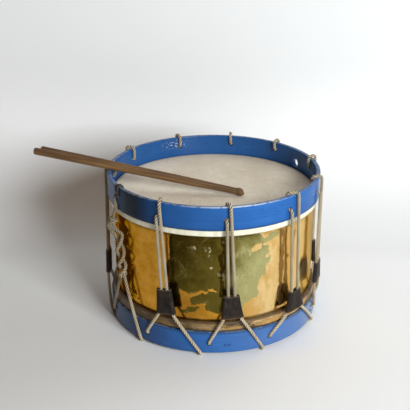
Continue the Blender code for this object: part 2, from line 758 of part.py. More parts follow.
def lay_stick(name, length, tip, turn, finish):
    """Lays a stick with its bead on the head and its shaft on the rim's inner edge."""
    bead = BEAD_LENGTH * 0.58
    way = Vector((math.cos(math.radians(turn)), math.sin(math.radians(turn)), 0))
    along = tip.dot(way)
    reach = -along + math.sqrt(along * along - tip.length_squared + HOOP_BORE ** 2)
    tip_height = BATTER_LEVEL + STICK_BEAD / 2 + STICK_GAP
    slope = 0.1
    for _ in range(6):
        rise = RIM + (STICK_BUTT / 2 + STICK_GAP) / math.cos(slope) - tip_height
        slope = math.atan2(rise, reach)
    lean = (way * math.cos(slope) + Vector((0, 0, math.sin(slope)))).normalized()
    centre = Vector((AXIS_X + tip.x, AXIS_Y + tip.y, tip_height))
    butt = centre + lean * (length - bead)
    side = Vector((0, 0, 1)).cross(lean).normalized()
    turned_stick = place(name, turned_mesh(name, stick_profile(length), steps=12, closed=False),
                         finish)
    frame = Matrix((side, side.cross(lean), -lean)).transposed().to_4x4()
    turned_stick.matrix_world = Matrix.Translation(butt) @ frame
    print(f"{name}: slope {math.degrees(slope):.2f} degrees, butt at "
          f"({butt.x:.4f}, {butt.y:.4f}, {butt.z:.4f})")


def build_sticks(wood):
    near_tip = Vector((TIP_X, TIP_Y, 0))
    lay_stick("near_stick", STICK_LENGTH, near_tip, STICK_TURN, wood)
    turn = math.radians(STICK_TURN)
    way = Vector((math.cos(turn), math.sin(turn), 0))
    beside = Vector((way.y, -way.x, 0))
    apart = STICK_BUTT + 2 * STICK_GAP
    closing = math.radians(FAR_STICK_CLOSING)
    apart_at_tip = apart - (STICK_LENGTH - STICK_TAPER) * math.sin(closing)
    short = STICK_LENGTH - FAR_STICK_LENGTH
    far_tip = near_tip + beside * apart_at_tip + way * (short - FAR_STICK_SHIFT)
    lay_stick("far_stick", FAR_STICK_LENGTH, far_tip, STICK_TURN - FAR_STICK_CLOSING, wood)


def build():
    clear_scene()
    brass = material("brass", (0.62, 0.42, 0.12), 0.22, 1.0)
    iron = material("iron", (0.12, 0.11, 0.10), 0.5, 1.0)
    calfskin = material("calfskin", (0.62, 0.55, 0.44), 0.6)
    worn_skin = material("worn_skin", (0.42, 0.30, 0.16), 0.65)
    ash = material("ash", (0.50, 0.36, 0.20), 0.6)
    paint = material("blue_paint", (0.06, 0.19, 0.55), 0.35)
    hemp = material("hemp", (0.42, 0.36, 0.26), 0.9)
    leather = material("dark_leather", (0.05, 0.045, 0.05), 0.55)
    gut = material("gut", (0.55, 0.44, 0.25), 0.45)
    wood = material("stick_wood", (0.17, 0.09, 0.04), 0.45)

    build_shell(brass, iron)
    build_heads(calfskin, worn_skin, ash)
    build_hoops(paint)
    rope = build_lacing(hemp)
    if not rope.data.materials:
        rope.data.materials.append(hemp)
    build_spare_cord(hemp)
    build_tugs(leather)
    build_rim_strap(leather, iron)
    build_nails(iron)
    build_snares(gut)
    build_sticks(wood)


build()
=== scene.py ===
"""The looks of a rope-tensioned side drum: tarnished brass shell, blue painted hoops, calfskin
heads, laid hemp lacing with leather tugs, a twist of spare cord and a pair of old sticks.

Metres, +Z up. Angles are degrees round the drum, 0 at the front (-Y) and growing towards +X.
"""

import json
import math

import bmesh
import bpy
from mathutils import Matrix, Vector, noise


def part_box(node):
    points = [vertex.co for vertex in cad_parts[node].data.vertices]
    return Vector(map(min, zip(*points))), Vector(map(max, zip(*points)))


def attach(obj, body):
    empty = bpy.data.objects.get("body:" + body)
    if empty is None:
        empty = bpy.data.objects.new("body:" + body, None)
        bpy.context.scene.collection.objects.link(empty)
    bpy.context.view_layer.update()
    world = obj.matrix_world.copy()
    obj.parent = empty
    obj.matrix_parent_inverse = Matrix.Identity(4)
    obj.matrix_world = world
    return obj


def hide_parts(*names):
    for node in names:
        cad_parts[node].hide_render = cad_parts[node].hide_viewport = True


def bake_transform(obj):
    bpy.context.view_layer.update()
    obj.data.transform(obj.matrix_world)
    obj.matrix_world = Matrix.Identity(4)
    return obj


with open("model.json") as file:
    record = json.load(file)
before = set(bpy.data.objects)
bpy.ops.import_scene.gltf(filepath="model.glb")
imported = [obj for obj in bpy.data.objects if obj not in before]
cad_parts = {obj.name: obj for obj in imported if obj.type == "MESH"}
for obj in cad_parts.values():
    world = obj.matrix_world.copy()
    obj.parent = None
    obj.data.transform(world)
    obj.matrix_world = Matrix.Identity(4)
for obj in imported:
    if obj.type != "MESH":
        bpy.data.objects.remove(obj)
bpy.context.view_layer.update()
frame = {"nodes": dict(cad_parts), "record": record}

NODES = frame["nodes"]


def middle_of(node):
    """The centre of a node's box."""
    low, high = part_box(node)
    return (low + high) / 2


# What the frame gives: the drum's axis, levels and radii

AXIS = middle_of("top_counterhoop")
HOOP_LOW, HOOP_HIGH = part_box("top_counterhoop")
FOOT_LOW, FOOT_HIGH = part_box("bottom_counterhoop")
HOOP_RADIUS = (HOOP_HIGH.x - HOOP_LOW.x) / 2
RIM = HOOP_HIGH.z
TOP_HOOP_BASE = HOOP_LOW.z
HOOP_LIFT = FOOT_LOW.z
BOTTOM_HOOP_TOP = FOOT_HIGH.z
DRUM_HEIGHT = RIM - HOOP_LIFT

# Sizes that the solids have

GAP = 0.0003
HOOP_WALL = 0.0077
HOOP_BORE = HOOP_RADIUS - HOOP_WALL
BAND_RADIUS = HOOP_RADIUS - 0.003
SHELL_RADIUS = 0.1903
SHEET = 0.001
EDGE_WIRE = 0.004
CURL_CENTRE = SHELL_RADIUS - SHEET - GAP - EDGE_WIRE / 2
CURL_OUT = SHEET + GAP + EDGE_WIRE / 2
VENT_ANGLE = 150
SKIN = 0.0006
BATTER_LEVEL = RIM - 0.0386
SNARE_LEVEL = HOOP_LIFT + 0.0365
FLESH_BORE = SHELL_RADIUS + 2 * GAP + SKIN
TOP_FLESH_HEIGHT = 0.0097
BOTTOM_FLESH_HEIGHT = 0.0157

CORD = 0.0054
CORD_HOLE = 0.009
CORD_BEND = 0.0046
CORD_DRAWN = 0.0061
FACET = HOOP_RADIUS * (1 - math.cos(math.pi / 56))
CORD_OUT = HOOP_RADIUS + GAP + CORD / 2
CORD_RUN = CORD_OUT + 0.0027
CORD_IN = HOOP_BORE - GAP - FACET - CORD / 2
TOP_HOLE = RIM - 0.0245
BOTTOM_HOLE = HOOP_LIFT + 0.019
OVER_LIFT = 0.001
FOOT_SPREAD = 0.0155

# The lacing points as they were drilled, and each pair of strands with its hand-cut tug

LACE_COUNT = 11
LACE_START = -57
PITCH = 360 / LACE_COUNT
TOP_STRAY = (-4.8, -3.2, -1.15, 2.5, -1.6, -1.6, 0.6, -2, -2.5, 0.5, -4)
BOTTOM_STRAY = (2, 3.7, 3.7, 13, 8, 4, 4, 8, 4, 3, 2)
TOP_RAISE = (0, 0, 0, 0, 0, 0.009, 0.010, 0.0077, 0.0055, 0.0029, 0)
TOP_SPREAD = (0, 0.0062, 0.0062, 0.016, 0.008, 0.009, 0.0066, 0.0062, 0.0062, 0.008, 0.010)
NECK_SPREAD = (0, 0.0113, 0.0117, 0.0165, 0.012, 0.012, 0.013, 0.012, 0.0115, 0.0125, 0.012)
TUG_SPREAD = (0, 0.0288, 0.0315, 0.0385, 0.035, 0.030, 0.032, 0.029, 0.031, 0.033, 0.030)
TUG_HEIGHT = (0, 0.048, 0.0435, 0.0385, 0.038, 0.044, 0.046, 0.043, 0.045, 0.042, 0.044)
TUG_LEAN = (0, 3.6, 2.15, 2.2, -0.8, 1, -1, 0, 1, -1, 4)
TUG_RAISE = (0, 0.0025, 0.0023, -0.011, 0.010, -0.004, 0, 0.003, -0.006, 0, -0.004)
TUG_TOP_WIDTH = 0.028
TUG_THICKNESS = 0.010
TUG_LEATHER = 0.0014
TUG_BOTTOM = 0.072
TUG_MOUTH = 0.003
EMPTY_HOLE = 0.017
EMPTY_HOLE_ANGLE = 122
EMPTY_HOLE_DROP = 0.0275

# The spare cord hangs doubled and twisted. Each level of the twist: its height, its angle
# round the drum and how far the first leg has turned round the second one

SPARE_HOLE_ANGLE = -61.8
TWIST_LEVELS = ((0.1967, -57.6, -49), (0.1782, -57, 41), (0.1627, -56.4, 131),
                (0.1482, -55.8, 221), (0.1367, -55.1, 311), (0.1222, -54.7, 450))
TWIST_ACROSS = 0.008
TWIST_OUT = 0.0066
TWIST_STEPS = 4
HITCH_ANGLE = -61
HITCH_OUT = 0.0035
HITCH_LOW = 0.2172
HITCH_RADIUS = 0.0064
HITCH_PITCH = 0.0061
HITCH_TURN = 540
ARCH_RADIUS = 0.007
ARCH_TOP, ARCH_ANGLE = TWIST_LEVELS[-1][:2]
STOPPER = 0.011

STRAP_ANGLE = -58.6
STRAP_WIDTH = 0.012
STRAP_THICKNESS = 0.0022
STRAP_LEG = 0.0175
RIVET_DROP = 0.0115

NAIL_SLANT = 0.2
NAIL_SPACING = 0.0088
NAIL_LOW = 0.018
TOP_NAIL_ANGLE = 155
BOTTOM_NAIL_ANGLE = 68.3

GUT = 0.0015
GUT_LAY = 0.012
GUT_SPACING = 0.007
GUT_FRONT_ANGLE = 7.6
GUT_BACK_ANGLE = 178
GUT_RISE = 0.016

SPIN_STEPS = 224
ROPE_STEP = 0.0012
ROPE_LAY = 0.0165


def arc_angle(length, radius=CORD_OUT):
    """The angle that a length takes up round the drum."""
    return math.degrees(length / radius)


def polar(angle, radius, height):
    """A point of the drum in world coordinates."""
    turn = math.radians(angle)
    return Vector((AXIS.x + radius * math.sin(turn), AXIS.y - radius * math.cos(turn), height))


def outward(angle):
    """The level way out of the drum at an angle."""
    turn = math.radians(angle)
    return Vector((math.sin(turn), -math.cos(turn), 0))


def facing(angle, radius, height):
    """A frame at a place of the drum whose Z axis points out of it."""
    turn = outward(angle).to_track_quat("Z", "Y").to_matrix().to_4x4()
    return Matrix.Translation(polar(angle, radius, height)) @ turn


def placed(point, first, second, third):
    """A frame at a point with the three given axes."""
    return Matrix.Translation(point) @ Matrix((first, second, third)).transposed().to_4x4()


def wander(place, scale, seed=0):
    """Smooth noise between about -1 and 1."""
    return noise.noise(place * scale + Vector((seed, 0.37 * seed, -seed)))


def eased_step(value, low, high):
    """0 below low and 1 above high, smoothly between."""
    share = min(max((value - low) / (high - low), 0), 1)
    return share * share * (3 - 2 * share)


# Shader nodes as expressions

class Value:
    """A shader socket that takes part in sums: each operator adds a Math node."""

    def __init__(self, finish, output):
        self.finish = finish
        self.output = output

    def maths(self, operation, *others):
        made = self.finish.node("ShaderNodeMath", {"operation": operation},
                                dict(enumerate((self, *others))))
        return Value(self.finish, made.outputs[0])

    def __add__(self, other):
        return self.maths("ADD", other)

    __radd__ = __add__

    def __sub__(self, other):
        return self.maths("SUBTRACT", other)

    def __rsub__(self, other):
        return (self * -1) + other

    def __mul__(self, other):
        return self.maths("MULTIPLY", other)

    __rmul__ = __mul__

    def __abs__(self):
        return self.maths("ABSOLUTE")

    def power(self, number):
        return self.maths("POWER", number)

    def most(self, other):
        return self.maths("MAXIMUM", other)

    def least(self, other):
        return self.maths("MINIMUM", other)

    def above(self, edge, soft=0.05):
        """0 below an edge and 1 above it, with a soft step between."""
        made = self.finish.node("ShaderNodeMapRange",
                                {"interpolation_type": "SMOOTHSTEP", "clamp": True},
                                {"Value": self, "From Min": edge - soft, "From Max": edge + soft})
        return Value(self.finish, made.outputs["Result"])

    def below(self, edge, soft=0.05):
        return 1 - self.above(edge, soft)

    def near(self, middle, reach):
        """1 at a value, falling to 0 at a reach to either side of it."""
        return abs(self - middle).below(reach / 2, reach / 2)

    def clamped(self):
        return self.most(0).least(1)


class Nodes:
    """The nodes of a material or of the world."""

    def __init__(self, owner):
        owner.use_nodes = True
        self.tree = owner.node_tree

    def node(self, kind, settings=None, inputs=None):
        """Adds a node: its settings first, then the values or links of its sockets."""
        made = self.tree.nodes.new(kind)
        for name, value in (settings or {}).items():
            setattr(made, name, value)
        for name, value in (inputs or {}).items():
            if isinstance(value, Value):
                self.tree.links.new(value.output, made.inputs[name])
            else:
                made.inputs[name].default_value = value
        return made


class Finish(Nodes):
    """A material: one Principled shader with what feeds it."""

    def __init__(self, name, colour, roughness=0.5, **sockets):
        self.material = bpy.data.materials.new(name)
        super().__init__(self.material)
        self.shader = self.tree.nodes["Principled BSDF"]
        self.shader.inputs["Base Color"].default_value = (*colour, 1)
        self.shader.inputs["Roughness"].default_value = roughness
        for socket, value in sockets.items():
            self.shader.inputs[socket.replace("_", " ")].default_value = value
        coords = self.node("ShaderNodeTexCoord")
        self.place = Value(self, coords.outputs["Object"])

    def noise(self, scale, detail=4, rough=0.55, stretch=(1, 1, 1), twist=0.0, where=None):
        """Noise with a mean of about 0.5, stretched along the axes that have small numbers."""
        moved = self.node("ShaderNodeMapping", None,
                          {"Vector": where or self.place, "Scale": stretch})
        made = self.node("ShaderNodeTexNoise", None,
                         {"Vector": Value(self, moved.outputs[0]), "Scale": scale,
                          "Detail": detail, "Roughness": rough, "Distortion": twist})
        return Value(self, made.outputs["Fac"])

    def cells(self, scale):
        """How far a point is from the borders of a net of cells."""
        made = self.node("ShaderNodeTexVoronoi", {"feature": "DISTANCE_TO_EDGE"},
                         {"Vector": self.place, "Scale": scale})
        return Value(self, made.outputs["Distance"])

    def attribute(self, name):
        """A value that a piece's own points carry."""
        made = self.node("ShaderNodeAttribute", {"attribute_name": name})
        return Value(self, made.outputs["Fac"])

    def apart(self):
        """The three coordinates of the point, measured from the drum's axis."""
        made = self.node("ShaderNodeSeparateXYZ", None, {0: self.place})
        x, y, z = [Value(self, output) for output in made.outputs]
        return x - AXIS.x, y - AXIS.y, z

    def round_the_drum(self):
        """The point's angle in degrees, its distance from the axis and its height."""
        x, y, z = self.apart()
        angle = x.maths("ARCTAN2", y * -1) * math.degrees(1)
        return angle, (x * x + y * y).power(0.5), z

    def mix(self, share, first, second):
        """A colour between two colours."""
        first, second = [end if isinstance(end, Value) else (*end, 1) for end in (first, second)]
        made = self.node("ShaderNodeMix", {"data_type": "RGBA"}, {0: share, 6: first, 7: second})
        return Value(self, made.outputs[2])

    def feed(self, socket, value):
        self.tree.links.new(value.output, self.shader.inputs[socket])

    def bump(self, height, strength=0.3, distance=0.001):
        made = self.node("ShaderNodeBump", None,
                         {"Height": height, "Strength": strength, "Distance": distance})
        self.tree.links.new(made.outputs[0], self.shader.inputs["Normal"])


# Finishes

GOLD = (0.78, 0.40, 0.06)
GOLD_DEEP = (0.58, 0.27, 0.025)
REFLECTED_LIGHT_GOLD = (0.80, 0.49, 0.155)
HIGHLIGHT_GOLD = (0.97, 0.72, 0.34)
DARK_REFLECTION_AND_TARNISH = (0.050, 0.032, 0.004)
DARK_TINT = (0.130, 0.098, 0.016)
BROWN_REFLECTED_SHADE = (0.038, 0.019, 0.003)
GREEN_DEEP = (0.17, 0.14, 0.028)
GREEN_TARNISH_AND_REFLECTION = (0.47, 0.44, 0.185)
REFLECTION_STREAK_WHITE = (1.0, 0.97, 0.90)

# Marks on the shell, most of them painted reflections and shade: angle and height of each one's
# middle, its half angle and half height
DARK_REFLECTION_PLACES = ((-8.0, 0.180, 15.5, 0.062), (1.0, 0.104, 5.2, 0.024), (-8.5, 0.103, 4.5, 0.009),
               (-21.5, 0.170, 2.6, 0.070), (-13.0, 0.086, 5.5, 0.0045))
GREEN_TARNISH_AND_REFLECTION_PLACES = ((17.0, 0.185, 13.5, 0.052), (15.5, 0.119, 10.0, 0.024), (13.0, 0.098, 5.0, 0.014),
                (30.0, 0.2185, 8.5, 0.0075))
PALE_SPECKS_AND_GLINT = ((-0.7, 0.170, 0.75, 0.0023), (-9.6, 0.202, 1.1, 0.0090), (-3.2, 0.204, 2.0, 0.0060),
               (-1.5, 0.190, 1.4, 0.0050), (20.0, 0.196, 1.3, 0.0080), (14.0, 0.150, 3.4, 0.0040))
BROWN_REFLECTION_PLACES = ((-60.0, 0.150, 6.6, 0.088), (39.8, 0.150, 1.6, 0.078), (43.5, 0.120, 1.1, 0.055),
                (63.5, 0.112, 6.0, 0.018), (-50.5, 0.105, 1.8, 0.034), (59.0, 0.075, 5.0, 0.006),
                (49.0, 0.185, 0.7, 0.030), (78.0, 0.150, 2.0, 0.070), (4.4, 0.165, 1.0, 0.058))
GOLD_PATCHES = ((23.5, 0.203, 2.2, 0.007), (30.0, 0.206, 3.4, 0.005), (33.0, 0.196, 1.8, 0.016),
                (-16.0, 0.107, 3.2, 0.0035), (-2.0, 0.124, 2.6, 0.0022))


def inside_patches(angle, height, places):
    """1 inside any of the patches, whose edges run where the two wandering inputs put them."""
    share = None
    for middle, level, reach, rise in places:
        across = abs((angle - middle) * (1 / reach)).power(3)
        up = abs((height - level) * (1 / rise)).power(3)
        inside = (across + up).below(1, 0.10)
        share = inside if share is None else share.most(inside)
    return share


def make_brass():
    """Polished brass with painted reflections: dark and brown patches where it mirrors the dark
    room, the shaded floor and the cords, olive tarnish laid out in the shapes of reflections, paler
    gold and painted highlights, pale painted reflection streaks, painted shade along its edges,
    pale specks and one painted glint.
    """
    brass = Finish("tarnished_brass", GOLD, 0.17, Metallic=1.0,
                   Specular_Tint=(0.58, 0.40, 0.17, 1))
    angle, _, height = brass.round_the_drum()
    broad = brass.noise(24, 5, 0.62)
    fine = brass.noise(55, 4, 0.6)
    swayed = angle + (broad - 0.5) * 13 + (fine - 0.5) * 5
    risen = height + (brass.noise(19, 5, 0.62) - 0.5) * 0.055
    # painted reflections: dark patches on the front where the brass mirrors the dark room
    dark = inside_patches(swayed, risen, DARK_REFLECTION_PLACES)
    # olive tarnish laid out in the shapes of painted reflections
    green = inside_patches(swayed, risen, GREEN_TARNISH_AND_REFLECTION_PLACES)
    # painted reflections: brown bands and swirls where the brass mirrors the shaded floor and the
    # cords, widest at its left edge
    swirls = (brass.noise(34, 6, 0.7, twist=1.6) - 0.5) * 22
    brown = inside_patches(angle + (fine - 0.5) * 8 + swirls * angle.below(-40, 4), risen, BROWN_REFLECTION_PLACES)
    bright = inside_patches(swayed, risen, GOLD_PATCHES)
    # round the back the dark and olive patches are tarnish only
    back = abs(angle).above(88, 8)
    blooms = brass.noise(11, 6, 0.62, twist=0.6)
    dark = dark.most(back * blooms.above(0.56, 0.02)) * (1 - bright)
    green = green.most(back * brass.noise(14, 5, 0.6, twist=0.4).below(0.42, 0.03)) * (1 - bright)
    # painted shade: brown along the shell's top and bottom edges beside the flesh hoops
    edge_shade = height.above(0.226, 0.006).most(height.below(0.0685, 0.003))
    brown = brown.most(edge_shade * brass.noise(40, 4, 0.6, stretch=(1, 1, 0.5)).above(0.42, 0.10))
    clouds = brass.noise(38, 6, 0.68)
    gold = brass.mix(clouds.above(0.5, 0.16), GOLD_DEEP, GOLD)
    # painted reflection: paler gold right of the front, where the brass mirrors the lit side of the
    # room
    gold = brass.mix(swayed.above(14, 8) * 0.9, gold, REFLECTED_LIGHT_GOLD)
    # painted highlights: bright gold where the brass mirrors the lamp, and along the right side
    sheen = swayed.near(30, 12) * brass.noise(30, 4, 0.6, stretch=(1, 1, 0.5)).above(0.50, 0.10)
    gold = brass.mix((sheen + swayed.above(50, 4)).clamped() * 0.92, gold, HIGHLIGHT_GOLD)
    shaded = angle.near(-14, 15) * height.below(0.118, 0.020)
    gold = brass.mix(shaded * (clouds + 0.15) * 0.9, gold, (0.28, 0.13, 0.012))
    sunk = (angle + 12) * 0.03 + (0.165 - height) * 7 + (clouds - 0.5) * 2.4
    tint = brass.mix(sunk.above(0.05, 0.6), DARK_REFLECTION_AND_TARNISH, DARK_TINT)
    rising = (swayed - 17) * 0.045 + (0.185 - risen) * 9 + (clouds - 0.5) * 1.6
    haze = brass.mix(rising.above(0.0, 0.55), GREEN_DEEP, GREEN_TARNISH_AND_REFLECTION)
    colour = brass.mix(green, gold, haze)
    colour = brass.mix(dark, colour, tint)
    right = angle.above(20, 5) * 0.42
    colour = brass.mix(brown * (0.94 - right), colour, BROWN_REFLECTED_SHADE)
    # painted reflection: pale upright streaks on the right where the brass mirrors the bright
    # backdrop
    reflection_streaks = angle.near(71.5, 2.4).most(angle.near(67.5, 0.8)) * height.above(0.105, 0.02)
    colour = brass.mix(reflection_streaks, colour, REFLECTION_STREAK_WHITE)
    pits = brass.noise(260, 2, 0.6).above(0.70, 0.03)
    flecks = brass.noise(210, 4, 0.75, stretch=(1, 1, 0.6)).above(0.555, 0.045)
    # painted glint: the first spot is filled whole as a bright point where a dent catches the
    # light; the rest are pale specks
    whole = abs(angle + 0.7).below(1.0, 0.3) * abs(height - 0.170).below(0.0035, 0.001)
    spots = inside_patches(angle + (fine - 0.5) * 5, height + (broad - 0.5) * 0.006, PALE_SPECKS_AND_GLINT)
    spots = spots * flecks.most(whole)
    smears = brass.noise(62, 6, 0.75, stretch=(1, 1, 0.7), twist=0.8).above(0.60, 0.05)
    colour = brass.mix(smears * dark * 0.45, colour, (0.25, 0.21, 0.065))
    colour = brass.mix(smears * green * 0.35, colour, (0.66, 0.64, 0.36))
    colour = brass.mix(pits * 0.55, colour, (0.10, 0.07, 0.02))
    colour = brass.mix(spots * 0.75, colour, (0.66, 0.62, 0.36))
    brass.feed("Base Color", colour)
    scuffs = brass.noise(300, 3, 0.7, stretch=(1, 1, 0.06))
    rough = dark.most(green) * 0.10 + brown * 0.16 + clouds * 0.16 + scuffs * 0.10 + 0.03
    brass.feed("Roughness", rough)
    ripples = brass.noise(26, 2, 0.4) + scuffs * 0.05 + pits * -0.06
    brass.bump(ripples, 0.45, 0.0022)
    return brass.material


def make_paint():
    """Blue gloss brushed on by hand: drawn-out brush lines, worn edges, chips and grime, with
    painted shade towards the sides, painted reflections on the lower hoop, a painted highlight
    along the front rim and painted glints inside.
    """
    paint = Finish("blue_gloss_paint", (0.014, 0.10, 0.40), 0.24, Specular_IOR_Level=0.2)
    angle, distance, height = paint.round_the_drum()
    outer = distance.above(HOOP_RADIUS - 0.004, 0.002)
    patches = paint.noise(13, 5, 0.6)
    brush = paint.noise(62, 4, 0.6, stretch=(0.22, 0.22, 4.5))
    blue = paint.mix(patches.above(0.5, 0.22), (0.010, 0.076, 0.27), (0.016, 0.112, 0.37))
    blue = paint.mix(brush.above(0.6, 0.16) * 0.30, blue, (0.026, 0.160, 0.50))
    edge = None
    for level in (RIM, TOP_HOOP_BASE, HOOP_LIFT, BOTTOM_HOOP_TOP):
        apart = abs(height - level)
        edge = apart if edge is None else edge.least(apart)
    upper = height.above(0.15, 0.01)
    front = abs(angle).below(100, 10) * outer
    # painted shade: the upper hoop's front darker towards its left and its right, and near black on
    # the left front, where less light falls
    blue = paint.mix(front * upper * angle.below(2, 26) * 0.42, blue, (0.004, 0.030, 0.11))
    blue = paint.mix(front * upper * angle.above(52, 12) * 0.30, blue, (0.008, 0.060, 0.20))
    left_front_shade = front * upper * angle.near(-46, 19).power(0.6)
    blue = paint.mix(left_front_shade * 0.96, blue, (0.0012, 0.004, 0.008))
    blue = paint.mix((1 - outer) * 0.5, blue, (0.016, 0.060, 0.16))
    lower = front * (1 - upper)
    # painted reflection: the lower hoop's front paler towards the right, where it mirrors the lit
    # floor, over a faint dust all along
    dust_and_reflected_light = lower * (angle.above(26, 40) * 0.15 + angle.above(60, 10) * 0.20 + 0.03)
    blue = paint.mix(dust_and_reflected_light, blue, (0.40, 0.43, 0.42))
    # painted shade: the lower hoop darker towards the left, and grey on its left where it mirrors
    # the shaded floor
    blue = paint.mix(lower * (angle.below(-10, 45) * 0.22 + 0.06), blue, (0.004, 0.022, 0.075))
    blue = paint.mix(lower * angle.below(-34, 22) * 0.45, blue, (0.035, 0.038, 0.042))
    ragged = paint.noise(120, 4, 0.7)
    rubbed = (edge * 900 + (0.5 - ragged) * 5).below(0.15, 0.35)
    chips = paint.noise(75, 5, 0.75).above(0.765, 0.008)
    seat = abs(height - TOP_HOOP_BASE).least(abs(height - BOTTOM_HOOP_TOP))
    grime = (seat * 210 + (0.5 - patches) * 2).below(0.7, 0.7)
    colour = paint.mix(grime * 0.55, blue, (0.012, 0.028, 0.060))
    # painted highlight: a pale broken line along the front of the rim's top edge
    rim_highlight = (RIM - height).below(0.0016, 0.0009) * ragged.above(0.44, 0.08)
    colour = paint.mix(rim_highlight * outer * angle.near(12, 42) * 0.8, colour, (0.62, 0.70, 0.76))
    glints = paint.noise(190, 3, 0.7, stretch=(1, 1, 2.5)).above(0.60, 0.03)
    glints = glints * (1 - outer) * angle.near(-155, 12) * height.near(RIM - 0.014, 0.013)
    colour = paint.mix(glints * 0.8, colour, (0.72, 0.80, 0.86))
    colour = paint.mix(rubbed * 0.55, colour, (0.21, 0.25, 0.28))
    colour = paint.mix(chips * 0.8, colour, (0.20, 0.21, 0.20))
    low = 1 - upper
    lap = angle - (height - HOOP_LIFT) * 60
    seam = (lap.near(BOTTOM_NAIL_ANGLE + 2.4, 0.35) * low).most(
        (angle - (height - TOP_HOOP_BASE) * 60).near(TOP_NAIL_ANGLE + 2.4, 0.35) * (1 - low))
    seam = seam * outer
    colour = paint.mix(seam * 0.75, colour, (0.006, 0.012, 0.02))
    paint.feed("Base Color", colour)
    paint.feed("Roughness", rubbed * 0.25 + brush * 0.14 + patches * 0.16 + 0.08)
    paint.bump(brush * 0.5 + paint.noise(48, 3, 0.5) * 1.1 - seam * 1.2 - chips * 0.5
               - rubbed * 0.3, 0.42, 0.0007)
    return paint.material


def make_calfskin():
    """Calfskin: speckled and veined over the drum, cleaner where it laps the flesh hoop."""
    skin = Finish("mottled_calfskin", (0.66, 0.58, 0.46), 0.55, Specular_IOR_Level=0.35)
    _, distance, height = skin.round_the_drum()
    patches = skin.noise(9, 6, 0.62)
    colour = skin.mix(patches.above(0.5, 0.16), (0.70, 0.61, 0.46), (0.84, 0.76, 0.62))
    cloud = skin.noise(24, 5, 0.7)
    colour = skin.mix(cloud.above(0.60, 0.08) * 0.35, colour, (0.90, 0.85, 0.74))
    veins = abs(skin.noise(15, 4, 0.55, twist=1.2) - 0.5).below(0.010, 0.008)
    colour = skin.mix(veins * 0.20, colour, (0.46, 0.37, 0.26))
    speckle = skin.noise(520, 2, 0.6).above(0.58, 0.05)
    colour = skin.mix(speckle * 0.32, colour, (0.50, 0.42, 0.31))
    played = (distance + (cloud - 0.5) * 0.05).below(0.085, 0.05) * skin.noise(60, 4, 0.7)
    colour = skin.mix(played * 0.24, colour, (0.56, 0.48, 0.38))
    ring = distance.near(0.1862, 0.0050)
    colour = skin.mix(ring * 0.5, colour, (0.38, 0.31, 0.21))
    folds = skin.noise(120, 3, 0.6, stretch=(1, 1, 0.15))
    band = distance.above(0.1935, 0.0006)
    cream = skin.mix(folds.above(0.5, 0.2), (0.62, 0.585, 0.44), (0.72, 0.71, 0.58))
    # darker along the band's top edge, under the hoop, and along its bottom edge
    dark_top_edge = (height + (cloud - 0.5) * 0.004).near(TOP_HOOP_BASE, 0.0022)
    cream = skin.mix(dark_top_edge * 0.6, cream, (0.25, 0.21, 0.14))
    hem = (height + (cloud - 0.5) * 0.003).below(TOP_HOOP_BASE - 0.0106, 0.0010)
    cream = skin.mix(hem * 0.75, cream, (0.30, 0.25, 0.16))
    skin.feed("Base Color", skin.mix(band, colour, cream))
    skin.feed("Roughness", patches * 0.25 + speckle * 0.1 + 0.36)
    skin.bump(skin.noise(160, 4, 0.65) * 0.7 + speckle * 0.2 + veins * 0.4 + folds * band * 1.2,
              0.35, 0.0007)
    return skin.material


def make_worn_skin():
    """The lower head's lap, handled and soiled until it shows tan, brown and pinkish white, darker
    from the left round to the front, with painted shade along its top and bottom edges.
    """
    skin = Finish("worn_brown_skin", (0.40, 0.24, 0.10), 0.55)
    angle, distance, height = skin.round_the_drum()
    along = skin.noise(21, 6, 0.66, stretch=(1, 1, 3.5))
    fine = skin.noise(90, 5, 0.7, stretch=(1, 1, 2.2))
    colour = skin.mix(along.above(0.49, 0.06), (0.055, 0.028, 0.007), (0.38, 0.22, 0.06))
    colour = skin.mix(fine.above(0.56, 0.07) * 0.55, colour, (0.52, 0.33, 0.11))
    pink = skin.noise(34, 5, 0.66, stretch=(1, 1, 3.0), twist=0.4)
    frayed = (fine - 0.5) * 0.004
    worn = pink.above(0.575, 0.03).most(
        (angle + (fine - 0.5) * 16).near(-5, 9) * (height + frayed).near(0.0555, 0.006))
    colour = skin.mix(worn * 0.75, colour, (0.62, 0.44, 0.24))
    # painted shade: dark lines along the band's top, under the shell's edge, and its bottom, above
    # the hoop, with a fainter line across its middle
    edge = height + (fine - 0.5) * 0.003
    lines = edge.below(BOTTOM_HOOP_TOP + 0.0026, 0.0012).most(
        edge.above(BOTTOM_HOOP_TOP + 0.0146, 0.0012)).most(
        edge.near(BOTTOM_HOOP_TOP + 0.0108, 0.0012) * fine.above(0.45, 0.08) * 0.7)
    colour = skin.mix(lines * 0.85, colour, (0.040, 0.023, 0.012))
    colour = skin.mix(angle.below(12, 30) * 0.68, colour, (0.052, 0.028, 0.006))
    flat = distance.below(0.187, 0.001)
    pale = skin.mix(skin.noise(12, 5).above(0.5, 0.15), (0.48, 0.38, 0.26), (0.60, 0.51, 0.38))
    colour = skin.mix(flat, colour, pale)
    skin.feed("Base Color", colour)
    skin.feed("Roughness", along * 0.3 + 0.35)
    skin.bump(fine * 0.8 - lines * 0.8 + skin.noise(150, 3, stretch=(1, 1, 0.2)), 0.45, 0.0007)
    return skin.material


